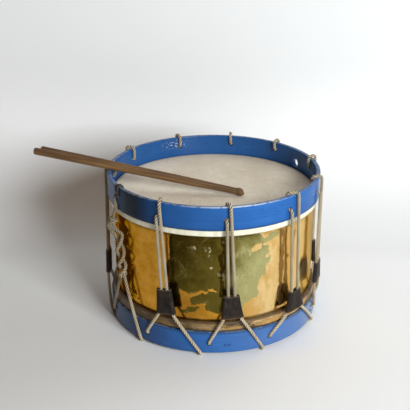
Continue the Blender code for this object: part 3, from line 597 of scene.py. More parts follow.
def make_hemp():
    """Old laid cord: painted shade between the strands and over the drum's left side, with rubbed
    fibres and specks of dirt.
    """
    hemp = Finish("greyed_hemp", (0.46, 0.38, 0.25), 0.85, Specular_IOR_Level=0.2)
    groove = hemp.attribute("groove")
    angle, _, height = hemp.round_the_drum()
    fibres = hemp.noise(1500, 3, 0.7)
    patches = hemp.noise(42, 4, 0.6)
    colour = hemp.mix(patches.above(0.5, 0.2), (0.44, 0.36, 0.23), (0.60, 0.53, 0.40))
    colour = hemp.mix(fibres.above(0.55, 0.12) * 0.5, colour, (0.62, 0.56, 0.43))
    # painted shade: dark in the grooves between the strands
    laid = (groove * 1.9 - 0.22 + (fibres - 0.5) * 0.5).clamped()
    colour = hemp.mix(laid * (0.95 - height.below(0.080, 0.008) * 0.42), colour,
                      (0.060, 0.042, 0.022))
    # painted shade: the cord darker on the drum's left side, away from the lamp
    handled = angle.near(-68, 36) * 0.62
    colour = hemp.mix(handled, colour, (0.11, 0.085, 0.045))
    specks = hemp.noise(330, 3, 0.7).above(0.66, 0.04)
    colour = hemp.mix(specks * 0.7, colour, (0.10, 0.075, 0.045))
    hemp.feed("Base Color", colour)
    hemp.bump(fibres - groove * 0.8, 0.7, 0.0006)
    return hemp.material


def make_leather():
    """Dark dry leather, cracked, browned and rubbed paler where it is handled."""
    leather = Finish("dark_dry_leather", (0.040, 0.032, 0.028), 0.5, Specular_IOR_Level=0.12)
    patches = leather.noise(70, 5, 0.65)
    scuffs = leather.noise(210, 4, 0.7, stretch=(1, 1, 0.35))
    cracks = leather.cells(420).below(0.035, 0.03)
    colour = leather.mix(patches.above(0.5, 0.14), (0.009, 0.007, 0.0065), (0.024, 0.017, 0.013))
    colour = leather.mix(scuffs.above(0.62, 0.06) * 0.55, colour, (0.070, 0.050, 0.035))
    edge = leather.attribute("edge")
    colour = leather.mix((edge * (patches + 0.35)).clamped() * 0.75, colour, (0.15, 0.10, 0.062))
    colour = leather.mix(cracks * 0.5, colour, (0.012, 0.010, 0.010))
    leather.feed("Base Color", colour)
    leather.feed("Roughness", scuffs * 0.3 + cracks * 0.15 + 0.30)
    leather.bump(scuffs * 0.6 + patches * 0.8 - cracks * 0.7, 0.45, 0.0006)
    return leather.material


def make_stick_wood(name, node):
    """Oiled hardwood with its grain along a stick."""
    wood = Finish(name, (0.20, 0.125, 0.06), 0.42, Specular_IOR_Level=0.25)
    low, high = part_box(node)
    slope = math.atan2(high.z - low.z - 0.0125, high.x - low.x)
    turned_place = wood.node("ShaderNodeMapping", {"vector_type": "TEXTURE"},
                             {"Vector": wood.place, "Location": tuple((low + high) / 2),
                              "Rotation": (0, slope, math.radians(-7.4))})
    along = Value(wood, turned_place.outputs[0])
    grain = wood.noise(260, 5, 0.65, stretch=(0.035, 1, 1), twist=0.3, where=along)
    broad = wood.noise(60, 4, 0.6, stretch=(0.09, 1, 1), where=along)
    colour = wood.mix(broad.above(0.5, 0.15), (0.086, 0.040, 0.013), (0.165, 0.088, 0.032))
    colour = wood.mix(grain.above(0.56, 0.06) * 0.7, colour, (0.055, 0.030, 0.014))
    colour = wood.mix(grain.below(0.42, 0.06) * 0.35, colour, (0.26, 0.15, 0.058))
    specks = wood.noise(420, 3, 0.7).above(0.68, 0.04)
    colour = wood.mix(specks * 0.5, colour, (0.04, 0.025, 0.015))
    dents = wood.noise(75, 3, 0.6).above(0.62, 0.05)
    colour = wood.mix(dents * 0.25, colour, (0.09, 0.05, 0.025))
    wood.feed("Base Color", colour)
    wood.feed("Roughness", grain * 0.25 + 0.36)
    wood.bump(grain * -0.6 - dents * 0.5, 0.4, 0.0006)
    return wood.material


def mottled(name, light, dark, scale, roughness, grain=60, strength=0.25, **sockets):
    """A plain finish whose colour wanders between two shades, with a fine grain."""
    made = Finish(name, light, roughness, **sockets)
    patches = made.noise(scale, 5, 0.65)
    made.feed("Base Color", made.mix(patches.above(0.5, 0.14), dark, light))
    made.feed("Roughness", patches * 0.3 + (roughness - 0.15))
    made.bump(made.noise(grain, 4, 0.65), strength, 0.0006)
    return made.material


BRASS = make_brass()
BLUE_PAINT = make_paint()
CALFSKIN = make_calfskin()
WORN_SKIN = make_worn_skin()
HEMP = make_hemp()
LEATHER = make_leather()
ASH = mottled("bent_ash", (0.50, 0.36, 0.20), (0.33, 0.22, 0.11), 34, 0.6, 220, 0.4)
IRON = mottled("dark_iron", (0.16, 0.13, 0.11), (0.07, 0.035, 0.02), 160, 0.5, 500, 0.5,
               Metallic=0.8)
PAINTED_IRON = mottled("paint_smeared_iron", (0.035, 0.085, 0.19), (0.05, 0.045, 0.04), 420, 0.4,
                       600, 0.5)
GUT_FINISH = mottled("waxy_gut", (0.40, 0.32, 0.18), (0.22, 0.16, 0.08), 130, 0.4, 700, 0.4)
GRIMY_GUT = mottled("grimy_gut", (0.026, 0.125, 0.36), (0.020, 0.085, 0.25), 500, 0.4, 700, 0.4)
NEAR_WOOD = make_stick_wood("oiled_stick_wood", "near_stick")
FAR_WOOD = make_stick_wood("oiled_far_stick_wood", "far_stick")

SLOT_FINISHES = {
    "brass_shell": BRASS, "iron_wire": IRON, "iron_nail": IRON, "calfskin": CALFSKIN,
    "worn_skin": WORN_SKIN, "ash_wood": ASH, "blue_paint": BLUE_PAINT, "hemp_cord": HEMP,
    "dark_leather": LEATHER, "gut": GUT_FINISH, "stick_wood": NEAR_WOOD,
}


def dress_nodes():
    """Gives each node the finish of its slot."""
    for part in frame["record"]["subparts"]:
        mesh = NODES[part["node"]].data
        mesh.materials.clear()
        mesh.materials.append(SLOT_FINISHES[part["material_slot"]])


# Making pieces

SHARP_EDGE = 38
DRILL_REACH = 0.02


def object_from(name, bm):
    """An object in the scene that takes over a bmesh's shape."""
    mesh = bpy.data.meshes.new(name)
    bm.to_mesh(mesh)
    bm.free()
    item = bpy.data.objects.new(name, mesh)
    bpy.context.collection.objects.link(item)
    return item


def piece(name, bm, finish, slot, body, *nodes, sharp=SHARP_EDGE):
    """A piece of the drum from a bmesh, riding on a body and standing for nodes."""
    bmesh.ops.recalc_face_normals(bm, faces=bm.faces)
    item = object_from(name, bm)
    item.data.shade_smooth()
    item.data.set_sharp_from_angle(angle=math.radians(sharp))
    item.data.materials.append(finish)
    if body:
        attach(item, body)
    if nodes:
        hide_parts(*nodes)
    return item


def turned(profile, steps=SPIN_STEPS, closed=True, middle=AXIS):
    """A profile of (radius, height) points turned round an upright axis."""
    bm = bmesh.new()
    corners = [bm.verts.new((middle[0] + radius, middle[1], height)) for radius, height in profile]
    pairs = list(zip(corners, corners[1:]))
    if closed:
        pairs.append((corners[-1], corners[0]))
    edges = [bm.edges.new(pair) for pair in pairs]
    bmesh.ops.spin(bm, geom=corners + edges, cent=(middle[0], middle[1], 0), axis=(0, 0, 1),
                   angle=math.tau, steps=steps, use_merge=True)
    bmesh.ops.remove_doubles(bm, verts=bm.verts, dist=1e-6)
    return bm


def drill(item, holes):
    """Cuts radial holes, each (angle, height, diameter), through a turned piece's wall."""
    bm = bmesh.new()
    for angle, height, diameter in holes:
        bmesh.ops.create_cone(bm, cap_ends=True, segments=28, radius1=diameter / 2,
                              radius2=diameter / 2, depth=2 * DRILL_REACH,
                              matrix=facing(angle, (SHELL_RADIUS + HOOP_RADIUS) / 2, height))
    cutter = object_from("holes", bm)
    cut = item.modifiers.new("holes", "BOOLEAN")
    cut.operation = "DIFFERENCE"
    cut.solver = "EXACT"
    cut.object = cutter
    bpy.context.view_layer.update()
    shape = item.evaluated_get(bpy.context.evaluated_depsgraph_get())
    item.data = bpy.data.meshes.new_from_object(shape)
    item.modifiers.clear()
    bpy.data.objects.remove(cutter, do_unlink=True)
    item.data.set_sharp_from_angle(angle=math.radians(SHARP_EDGE))


def move_points(mesh, shift):
    """Moves each point of a mesh outward from the drum's axis by shift(place)."""
    for vertex in mesh.vertices:
        place = vertex.co.copy()
        way = Vector((place.x - AXIS.x, place.y - AXIS.y, 0))
        if way.length > 1e-4:
            vertex.co = place + way.normalized() * shift(place)
    mesh.update()


# Shell

DENTS = ((-9, 0.150, 0.020, 0.0010), (22, 0.182, 0.022, 0.0009), (33, 0.122, 0.016, 0.0008),
         (60, 0.128, 0.022, 0.0011), (-42, 0.165, 0.026, 0.0008), (-35, 0.098, 0.015, 0.0006),
         (2, 0.105, 0.014, 0.0007), (-18, 0.205, 0.013, 0.0006), (95, 0.150, 0.03, 0.0012),
         (128, 0.190, 0.018, 0.0009), (172, 0.120, 0.024, 0.0010), (-150, 0.170, 0.02, 0.0010),
         (-110, 0.110, 0.026, 0.0009), (-85, 0.185, 0.018, 0.0008))


def curl(centre_height, side, radius, steps=12):
    """Points of a rolled edge, from the wall over the crest towards the inside."""
    points = []
    for step in range(steps + 1):
        turn = math.radians(210 * step / steps)
        points.append((CURL_CENTRE + radius * math.cos(turn),
                       centre_height + side * radius * math.sin(turn)))
    return points


def dented(place):
    """How far a point of the shell's wall stands out from a true cylinder."""
    share = eased_step(place.z, 0.068, 0.082) * (1 - eased_step(place.z, 0.214, 0.229))
    shift = 0.00042 * wander(place, 17, 5) + 0.00016 * wander(place, 46, 9)
    for angle, height, reach, depth in DENTS:
        apart = (place - polar(angle, SHELL_RADIUS, height)).length / reach
        if apart < 1:
            shift -= depth * (1 - apart * apart) ** 2
    return shift * share


def build_shell():
    """The brass tube with both edges rolled over their wires, its vent and the vent's eyelet."""
    inner = GAP + EDGE_WIRE / 2
    top = BATTER_LEVEL - SKIN - GAP - CURL_OUT
    low = SNARE_LEVEL + SKIN + GAP + CURL_OUT
    rows = [top + (low - top) * step / 44 for step in range(1, 44)]
    profile = curl(top, 1, CURL_OUT)[::-1]
    profile += [(SHELL_RADIUS, height) for height in rows] + curl(low, -1, CURL_OUT)
    profile += curl(low, -1, inner)[::-1]
    profile += [(SHELL_RADIUS - SHEET, height) for height in rows[::-1]] + curl(top, 1, inner)
    shell = piece("brass_tube", turned(profile), BRASS, "brass_shell", "drum", "shell")
    middle = (top + low) / 2
    drill(shell, [(VENT_ANGLE, middle, 0.008)])
    move_points(shell.data, dented)

    ring = [(0.0032, -0.0016), (0.0032, 0.0008), (0.0036, 0.0013), (0.0048, 0.0013),
            (0.0060, 0.0005), (0.0060, 0.0002), (0.0037, 0.0002), (0.0037, -0.0016)]
    eyelet = turned(ring, 32, True, (0, 0))
    seat = SHELL_RADIUS + dented(polar(VENT_ANGLE, SHELL_RADIUS, middle)) + 0.0002
    bmesh.ops.transform(eyelet, matrix=facing(VENT_ANGLE, seat, middle), verts=eyelet.verts)
    piece("vent_eyelet", eyelet, BRASS, "brass_shell", "drum")


# Heads

def head_profile(level, hoop_edge, flesh_height, side):
    """A skin's section; side is 1 for the upper head and -1 for the lower one."""
    crest = level - side * (SKIN + GAP + CURL_OUT)
    near = hoop_edge - side * (GAP + SKIN)
    far = near - side * (flesh_height + 2 * GAP)
    low = far - side * SKIN
    top = near + side * SKIN
    wall = SHELL_RADIUS + GAP
    outside = []
    inside = []
    for step in range(9):
        turn = math.pi / 2 * (1 - step / 8)
        reach = CURL_OUT + GAP
        inside.append((CURL_CENTRE + reach * math.cos(turn),
                       crest + side * reach * math.sin(turn)))
        reach += SKIN
        outside.append((CURL_CENTRE + reach * math.cos(turn),
                        crest + side * reach * math.sin(turn)))
    flat = [CURL_CENTRE * step / 30 for step in range(1, 30)]
    profile = [(0, level)] + [(radius, level) for radius in flat] + outside
    profile += [(wall + SKIN, crest + (far - crest) * share) for share in (0.25, 0.5, 0.75, 1)]
    profile += [(BAND_RADIUS - SKIN, far), (BAND_RADIUS - SKIN, near), (FLESH_BORE + 0.001, near),
                (FLESH_BORE + 0.001, top)]
    rounding = [(0.0015 * (1 - math.cos(math.radians(turn))),
                 0.0011 * (1 - math.sin(math.radians(turn)))) for turn in (75, 50, 25, 0)]
    profile += [(BAND_RADIUS - inset, top - side * drop) for inset, drop in rounding]
    profile += [(BAND_RADIUS, top + (low - top) * share) for share in (0.2, 0.4, 0.6, 0.8)]
    profile += [(BAND_RADIUS - inset, low + side * drop) for inset, drop in rounding[::-1]]
    profile.append((wall, low))
    profile += inside[::-1] + [(radius, level - side * SKIN) for radius in flat[::-1]]
    return profile + [(0, level - side * SKIN)]


def build_heads():
    """The skins: a flat drum face that dips a hair, and a lapped band with gathered folds."""
    for name, level, edge, height, side, finish, slot, node in (
            ("upper_calfskin", BATTER_LEVEL, TOP_HOOP_BASE, TOP_FLESH_HEIGHT, 1, CALFSKIN,
             "calfskin", "batter_skin"),
            ("lower_calfskin", SNARE_LEVEL, BOTTOM_HOOP_TOP, BOTTOM_FLESH_HEIGHT, -1, WORN_SKIN,
             "worn_skin", "snare_skin")):
        head = piece(name, turned(head_profile(level, edge, height, side), closed=False), finish,
                     slot, "drum", node)
        for vertex in head.data.vertices:
            place = vertex.co
            way = Vector((place.x - AXIS.x, place.y - AXIS.y, 0))
            if way.length < 0.184:
                share = 1 - eased_step(way.length, 0.15, 0.184)
                vertex.co.z -= side * 0.00016 * (1 + wander(place, 26, 2)) * share
            elif way.length > BAND_RADIUS - 0.0002:
                fold = wander(Vector((place.x, place.y, 0.2 * place.z)), 130, 4)
                vertex.co -= way.normalized() * 0.00022 * (1 + fold)


# Counterhoops

def top_angle(index):
    """The middle of the two strands at the upper hoop."""
    return LACE_START + PITCH * index + TOP_STRAY[index % LACE_COUNT]


def bottom_angle(index):
    """The middle of the cord's turn round the lower hoop, after lacing point index."""
    return LACE_START + PITCH * (index + 0.5) + BOTTOM_STRAY[index % LACE_COUNT]


def top_hole(index):
    """The height of a lacing hole in the upper hoop."""
    return TOP_HOLE + TOP_RAISE[index]


def half_spread(index):
    """Half the angle between the two strands at the upper hoop."""
    return arc_angle(TOP_SPREAD[index] / 2)


def hoop_profile(low, high, free):
    """A hoop's section; its free rim, at the top where free is 1, is worn rounder than its seat."""
    profile = []
    for radius, height, start in ((HOOP_RADIUS, low, -90), (HOOP_RADIUS, high, 0),
                                  (HOOP_BORE, high, 90), (HOOP_BORE, low, 180)):
        ease = 0.0015 if (height == high) == (free > 0) else 0.0006
        middle = radius + (ease if radius == HOOP_BORE else -ease)
        level = height + (ease if height == low else -ease)
        arc = [(middle + ease * math.cos(math.radians(start + turn)),
                level + ease * math.sin(math.radians(start + turn))) for turn in (0, 30, 60, 90)]
        if start in (0, 180):
            last = profile[-1][1]
            profile += [(radius, last + (arc[0][1] - last) * step / 6) for step in range(1, 6)]
        profile += arc
    return profile


def gut_angles():
    """Where the snares leave the lower hoop, at its front and its back."""
    half = arc_angle(GUT_SPACING / 2, HOOP_RADIUS)
    return [(GUT_FRONT_ANGLE - half, GUT_BACK_ANGLE + half),
            (GUT_FRONT_ANGLE + half, GUT_BACK_ANGLE - half)]


def nail_places(angle, height):
    """Three nails one above another, leaning with the lap that they hold."""
    return [(angle + NAIL_SLANT * number, height + NAIL_SPACING * number) for number in range(3)]


TOP_NAILS = nail_places(TOP_NAIL_ANGLE, TOP_HOOP_BASE + NAIL_LOW)
BOTTOM_NAILS = nail_places(BOTTOM_NAIL_ANGLE, HOOP_LIFT + NAIL_LOW)


def build_hoops():
    """Both counterhoops with their lacing holes, nail holes and the way through for the gut."""
    foot = arc_angle(FOOT_SPREAD / 2)
    top_holes = [(top_angle(index) - half_spread(index), top_hole(index), CORD_HOLE)
                 for index in range(LACE_COUNT)]
    top_holes.append((EMPTY_HOLE_ANGLE, RIM - EMPTY_HOLE_DROP, EMPTY_HOLE))
    top_holes.append((STRAP_ANGLE, RIM - RIVET_DROP, 0.0036))
    top_holes += [(angle, height, 0.0022) for angle, height in TOP_NAILS]
    low_holes = [(bottom_angle(index) + foot, BOTTOM_HOLE, CORD_HOLE)
                 for index in range(LACE_COUNT)]
    low_holes += [(angle, height, 0.0022) for angle, height in BOTTOM_NAILS]
    for pair in gut_angles():
        low_holes += [(angle, HOOP_LIFT + GUT_RISE, 0.0027) for angle in pair]
    for name, low, high, free, holes, node in (
            ("upper_blue_hoop", TOP_HOOP_BASE, RIM, 1, top_holes, "top_counterhoop"),
            ("lower_blue_hoop", HOOP_LIFT, BOTTOM_HOOP_TOP, -1, low_holes, "bottom_counterhoop")):
        hoop = piece(name, turned(hoop_profile(low, high, free)), BLUE_PAINT, "blue_paint", "drum",
                     node)
        drill(hoop, holes)
        move_points(hoop.data, lambda place: 0.00009 * wander(place, 22, 7))


# Cord drawn along a path

def carried_frames(points):
    """A frame at each point of a path, turned no more than the path's own bends ask for."""
    before = [points[0]] + points[:-1]
    after = points[1:] + [points[-1]]
    ways = [(end - start).normalized() for start, end in zip(before, after)]
    across = ways[0].orthogonal().normalized()
    frames = []
    for number, (point, way) in enumerate(zip(points, ways)):
        if number:
            across.rotate(ways[number - 1].rotation_difference(way))
            across = (across - way * across.dot(way)).normalized()
        frames.append(placed(point, across, way.cross(across), way))
    return frames


def draw_along(bm, section, frames, marks=None, mark_name="groove"):
    """Draws a closed section along frames and closes both ends; marks go with its corners."""
    layer = bm.verts.layers.float.get(mark_name) or bm.verts.layers.float.new(mark_name)
    ring = [bm.verts.new(frames[0] @ Vector((x, y, 0))) for x, y in section]
    for number, vertex in enumerate(ring):
        vertex[layer] = marks[number] if marks else 0
    edges = [bm.edges.new(pair) for pair in zip(ring, ring[1:] + ring[:1])]
    first = edges
    for before, after in zip(frames, frames[1:]):
        grown = bmesh.ops.extrude_edge_only(bm, edges=edges)["geom"]
        ring = [item for item in grown if isinstance(item, bmesh.types.BMVert)]
        edges = [item for item in grown if isinstance(item, bmesh.types.BMEdge)]
        bmesh.ops.transform(bm, matrix=after @ before.inverted(), verts=ring)
    bmesh.ops.edgeloop_fill(bm, edges=first)
    bmesh.ops.edgeloop_fill(bm, edges=edges)


def laid_section(diameter):
    """The section of a cord laid of three strands, and how deep in a groove each corner lies."""
    section = []
    marks = []
    for lobe in range(3):
        for share in (-52, -32, -11, 11, 32, 52):
            turn = math.radians(share)
            reach = 0.42 * math.cos(turn) + math.sqrt(0.3364 - (0.42 * math.sin(turn)) ** 2)
            turn += math.tau * lobe / 3
            section.append((diameter / 2 * reach * math.cos(turn),
                            diameter / 2 * reach * math.sin(turn)))
            marks.append((abs(share) / 52) ** 2)
    return section, marks


def laid_frames(points, lay=ROPE_LAY):
    """Frames along a path that also turn with the lay of the cord."""
    run = 0.0
    frames = []
    for number, item in enumerate(carried_frames(points)):
        if number:
            run += (points[number] - points[number - 1]).length
        frames.append(item @ Matrix.Rotation(math.tau * run / lay, 4, "Z"))
    return frames


def smoothed(points, reach=2, closed=False):
    """Points of a path, each moved to the mean of its neighbours."""
    count = len(points)
    made = []
    for number in range(count):
        if closed:
            near = [points[(number + step) % count] for step in range(-reach, reach + 1)]
        else:
            span = min(reach, number, count - 1 - number)
            near = points[number - span:number + span + 1]
        made.append(sum(near, Vector((0, 0, 0))) / len(near))
    return made


def stepped(route, step=ROPE_STEP, closed=False):
    """World points about a step apart along a route of (angle, radius, height) places."""
    points = []
    sources = []
    ends = route[1:] + (route[:1] if closed else [])
    for number, (start, end) in enumerate(zip(route, ends)):
        turn = (end[0] - start[0] + 180) % 360 - 180
        length = math.hypot(math.radians(turn) * start[1], end[1] - start[1], end[2] - start[2])
        count = max(1, round(length / step))
        for part in range(count):
            share = part / count
            points.append(polar(start[0] + turn * share, start[1] + (end[1] - start[1]) * share,
                                start[2] + (end[2] - start[2]) * share))
            sources.append(number)
    if not closed:
        points.append(polar(*route[-1][:3]))
        sources.append(len(route) - 1)
    return points, sources


# Lacing, as (angle, radius, height) places

def quarter(angle, centre, start, sweep, steps=3):
    """A bend of the cord in the drum's radial plane, from one direction to another."""
    points = []
    for step in range(steps + 1):
        turn = math.radians(start + sweep * step / steps)
        points.append((angle, centre[0] + CORD_BEND * math.cos(turn),
                       centre[1] + CORD_BEND * math.sin(turn)))
    return points


def tug_low(index):
    """The height of a tug's lower end."""
    return HOOP_LIFT + TUG_BOTTOM + TUG_RAISE[index]


def tug_angle(index):
    """The middle of a tug's lower end, which leans a little to one side."""
    return top_angle(index) + TUG_LEAN[index]


def strand_angle(index, height):
    """The middle of the two strands where they run up from the tug to the upper hoop."""
    share = (height - tug_low(index)) / (TOP_HOOP_BASE - tug_low(index))
    return tug_angle(index) + (top_angle(index) - tug_angle(index)) * share


def beside(angle, offset):
    """The angle and radius of a place beside a strand pair's middle, in the flat of its tug."""
    return angle + math.degrees(math.atan2(offset, CORD_RUN)), math.hypot(CORD_RUN, offset)


def tug_path(index, side):
    """A strand's two points at the ends of its tug; side is -1 for the left strand."""
    low = tug_low(index)
    top = low + TUG_HEIGHT[index]
    narrow = NECK_SPREAD[index] / 2
    wide = TUG_SPREAD[index] / 2
    ends = [(*beside(strand_angle(index, top), side * narrow), top),
            (*beside(tug_angle(index), side * wide), low - TUG_MOUTH)]
    return ends if side > 0 else ends[::-1]


def over_top(index):
    """Up to the hole in the upper hoop, in, up its inner face and out over the rim."""
    hole = top_angle(index) - half_spread(index)
    over = top_angle(index) + half_spread(index)
    crown = RIM + GAP + CORD / 2 + OVER_LIFT - CORD_BEND
    if index > 5:
        over = hole + (over - hole) * 0.4
    points = quarter(hole, (CORD_RUN - CORD_BEND, top_hole(index) - CORD_BEND), 0, 90)
    points += quarter(hole, (CORD_IN + CORD_BEND, top_hole(index) + CORD_BEND), 270, -90)
    points += quarter(hole + (over - hole) * 0.25, (CORD_IN + CORD_BEND, crown), 180, -90)
    points += quarter(over, (CORD_RUN - CORD_BEND, crown), 90, -90)
    return points


def under_bottom(index):
    """Down round the lower hoop's edge, up inside and out through the next hole."""
    foot = arc_angle(FOOT_SPREAD / 2)
    edge = bottom_angle(index) - foot
    hole = bottom_angle(index) + foot
    keel = HOOP_LIFT - GAP - CORD / 2 + CORD_BEND
    points = quarter(edge, (CORD_OUT - CORD_BEND, keel), 0, -90)
    points += quarter(edge, (CORD_IN + CORD_BEND, keel), 270, -90)
    points += quarter(hole, (CORD_IN + CORD_BEND, BOTTOM_HOLE - CORD_BEND), 180, -90)
    points += quarter(hole, (CORD_OUT - CORD_BEND, BOTTOM_HOLE + CORD_BEND), 270, 90)
    return points


def arch():
    """The cord's turn through the foot of the twist."""
    points = []
    for step in range(9):
        turn = math.radians(180 - 22.5 * step)
        points.append((ARCH_ANGLE + arc_angle(ARCH_RADIUS * math.cos(turn)), CORD_OUT,
                       ARCH_TOP - ARCH_RADIUS * (1 - math.sin(turn))))
    return points


def lacing_route():
    """The whole lacing, each place with the name of the stretch that starts there."""
    route = [(*place, "turns") for place in arch() + under_bottom(0)]
    for index in range(1, LACE_COUNT):
        legs = f"legs_{index:02d}"
        strands = f"strands_{index:02d}"
        route[-1] = (*route[-1][:3], legs)
        route += [(*place, strands) for place in tug_path(index, -1)]
        route += [(*place, "turns") for place in over_top(index)]
        route[-1] = (*route[-1][:3], strands)
        first, last = tug_path(index, 1)
        route += [(*first, strands), (*last, legs)]
        route += [(*place, "turns") for place in under_bottom(index)]
    return route


def build_lacing():
    """The cord in stretches: the turns round the hoops ride on the drum, and the strands and legs
    are separate pieces on no body.
    """
    route = lacing_route()
    points, sources = stepped(route, closed=True)
    points = smoothed(smoothed(points, 2, True), 1, True)
    names = [route[source][3] for source in sources]
    count = len(points)
    frames = laid_frames(points + points[:1])
    slip = frames[0].to_3x3().inverted() @ frames[-1].to_3x3()
    slip = math.atan2(slip[1][0], slip[0][0])
    frames = [item @ Matrix.Rotation(-slip * number / count, 4, "Z")
              for number, item in enumerate(frames)]
    section, marks = laid_section(CORD_DRAWN)
    meshes = {name: bmesh.new() for name in dict.fromkeys(names)}
    start = 0
    for number in range(1, count + 1):
        if number == count or names[number] != names[start]:
            draw_along(meshes[names[start]], section, frames[start:number + 1], marks)
            start = number
    for name, bm in meshes.items():
        for vertex in bm.verts:
            vertex.co.z = max(vertex.co.z, 0)
        if name == "turns":
            piece("lacing_turns", bm, HEMP, "hemp_cord", "drum", "lacing_rope", sharp=70)
            continue
        part, number = name.split("_")
        index = int(number)
        item = piece(f"lacing_{name}", bm, HEMP, "hemp_cord", None, "lacing_rope", sharp=70)
        foot = polar(tug_angle(index), CORD_RUN, tug_low(index))
        head = polar(top_angle(index), CORD_RUN, TOP_HOOP_BASE)
        if part == "strands":
            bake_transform(item)
        else:
            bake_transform(item)


# Spare cord, doubled and twisted, hitched at its top, as (angle, radius, height) places

def twist_point(side, share):
    """A point of a leg, side 1 or -1, at a share of the way down the twist's levels."""
    number = min(int(share), len(TWIST_LEVELS) - 2)
    upper, lower = TWIST_LEVELS[number:number + 2]
    height, angle, turn = [a + (b - a) * (share - number) for a, b in zip(upper, lower)]
    across = side * TWIST_ACROSS * math.cos(math.radians(turn))
    out = side * TWIST_OUT * math.sin(math.radians(turn))
    return angle + arc_angle(across), CORD_OUT + out, height


def hitch_point(turn):
    """A point of the hitch that the cord's end makes round its standing part."""
    across = HITCH_RADIUS * math.cos(math.radians(180 - turn))
    out = HITCH_OUT + HITCH_RADIUS * math.sin(math.radians(180 - turn))
    return HITCH_ANGLE + arc_angle(across), CORD_OUT + out, HITCH_LOW + HITCH_PITCH * turn / 360


def spare_route():
    """The spare cord from the hoop's hole down one leg, through the arch and up the other."""
    hole = SPARE_HOLE_ANGLE
    start = TWIST_LEVELS[0][1]
    stand = CORD_OUT + HITCH_OUT
    route = quarter(hole, (CORD_OUT - CORD_BEND, TOP_HOLE - CORD_BEND), 90, -60)
    route += [(hole + 2, CORD_OUT, TOP_HOLE - 0.008), (hole + 2.3, CORD_OUT, TOP_HOLE - 0.017),
              (HITCH_ANGLE + 0.5, stand - 0.0015, HITCH_LOW + 0.020),
              (HITCH_ANGLE, stand, HITCH_LOW + 0.012), (HITCH_ANGLE, stand, HITCH_LOW - 0.001),
              (HITCH_ANGLE + 0.4, stand + 0.0005, HITCH_LOW - 0.005),
              (start - 1.2, CORD_OUT + 0.003, HITCH_LOW - 0.0115),
              (start + 0.9, CORD_OUT - 0.002, TWIST_LEVELS[0][0] + 0.0045)]
    count = TWIST_STEPS * (len(TWIST_LEVELS) - 1)
    route += [twist_point(1, step / TWIST_STEPS) for step in range(count + 1)]
    for turn in (45, 90, 135):
        route.append((ARCH_ANGLE, CORD_OUT + TWIST_OUT * math.cos(math.radians(turn)),
                      ARCH_TOP - TWIST_OUT * math.sin(math.radians(turn))))
    route += [twist_point(-1, (count - step) / TWIST_STEPS) for step in range(count + 1)]
    route += [(start - 3, CORD_OUT + 0.0075, TWIST_LEVELS[0][0] + 0.004),
              (start - 5.2, CORD_OUT + 0.0105, TWIST_LEVELS[0][0] + 0.009),
              (start - 6, CORD_OUT + 0.0108, TWIST_LEVELS[0][0] + 0.0145),
              (start - 5.3, CORD_OUT + 0.0102, TWIST_LEVELS[0][0] + 0.0192)]
    route += [hitch_point(turn) for turn in range(90, HITCH_TURN + 1, 45)]
    return route


def length_of(points):
    """The length of a path."""
    return sum((after - before).length for before, after in zip(points, points[1:]))


def knot_points(angle, radius, height, size, depth, steps):
    """An overhand knot drawn tight against a hoop, flat to the drum's wall."""
    out = outward(angle)
    side = Vector((0, 0, 1)).cross(out)
    middle = polar(angle, radius, height)
    points = []
    for step in range(steps):
        turn = math.tau * (step + 0.5) / (steps + 1)
        across = math.sin(turn) + 2 * math.sin(2 * turn)
        up = math.cos(turn) - 2 * math.cos(2 * turn)
        points.append(middle + side * size * across + Vector((0, 0, size * up))
                      - out * depth * math.sin(3 * turn))
    return points


def build_spare_cord():
    """The twist on the drum's side and the stopper knot inside the hoop."""
    section, marks = laid_section(CORD_DRAWN * 1.06)
    route = [(SPARE_HOLE_ANGLE, HOOP_BORE - share * STOPPER, TOP_HOLE) for share in (0.8, 0.4, 0)]
    points = stepped(route + spare_route())[0]
    points = smoothed(smoothed(points, 2), 2)
    bm = bmesh.new()
    draw_along(bm, section, laid_frames(points), marks)
    twist = piece("spare_cord_twist", bm, HEMP, "hemp_cord", "drum", "spare_cord", sharp=70)
    bm = bmesh.new()
    section, marks = laid_section(CORD * 0.85)
    points_of_knot = knot_points(SPARE_HOLE_ANGLE, HOOP_BORE - GAP - FACET - STOPPER / 2,
                                 TOP_HOLE, 0.0017, 0.0026, 61)
    draw_along(bm, section, laid_frames(points_of_knot), marks)
    knot = piece("stopper_knot", bm, HEMP, "hemp_cord", "drum", "spare_cord", sharp=70)
    leaving = polar(SPARE_HOLE_ANGLE, HOOP_BORE, TOP_HOLE)
    length_of(points)


# Leather tugs

def squared(value, power):
    """A sine or cosine pushed towards 1 or -1, which makes a circle squarer."""
    return math.copysign(abs(value) ** power, value)


def tug_frame(index):
    """A tug's own frame: X across, Y outward, Z up its strands, from its lower end."""
    foot = polar(tug_angle(index), CORD_RUN, tug_low(index))
    head = polar(top_angle(index), CORD_RUN, TOP_HOOP_BASE)
    along = (head - foot).normalized()
    across = along.cross(outward(tug_angle(index))).normalized() * -1
    return placed(foot, across, along.cross(across), along)


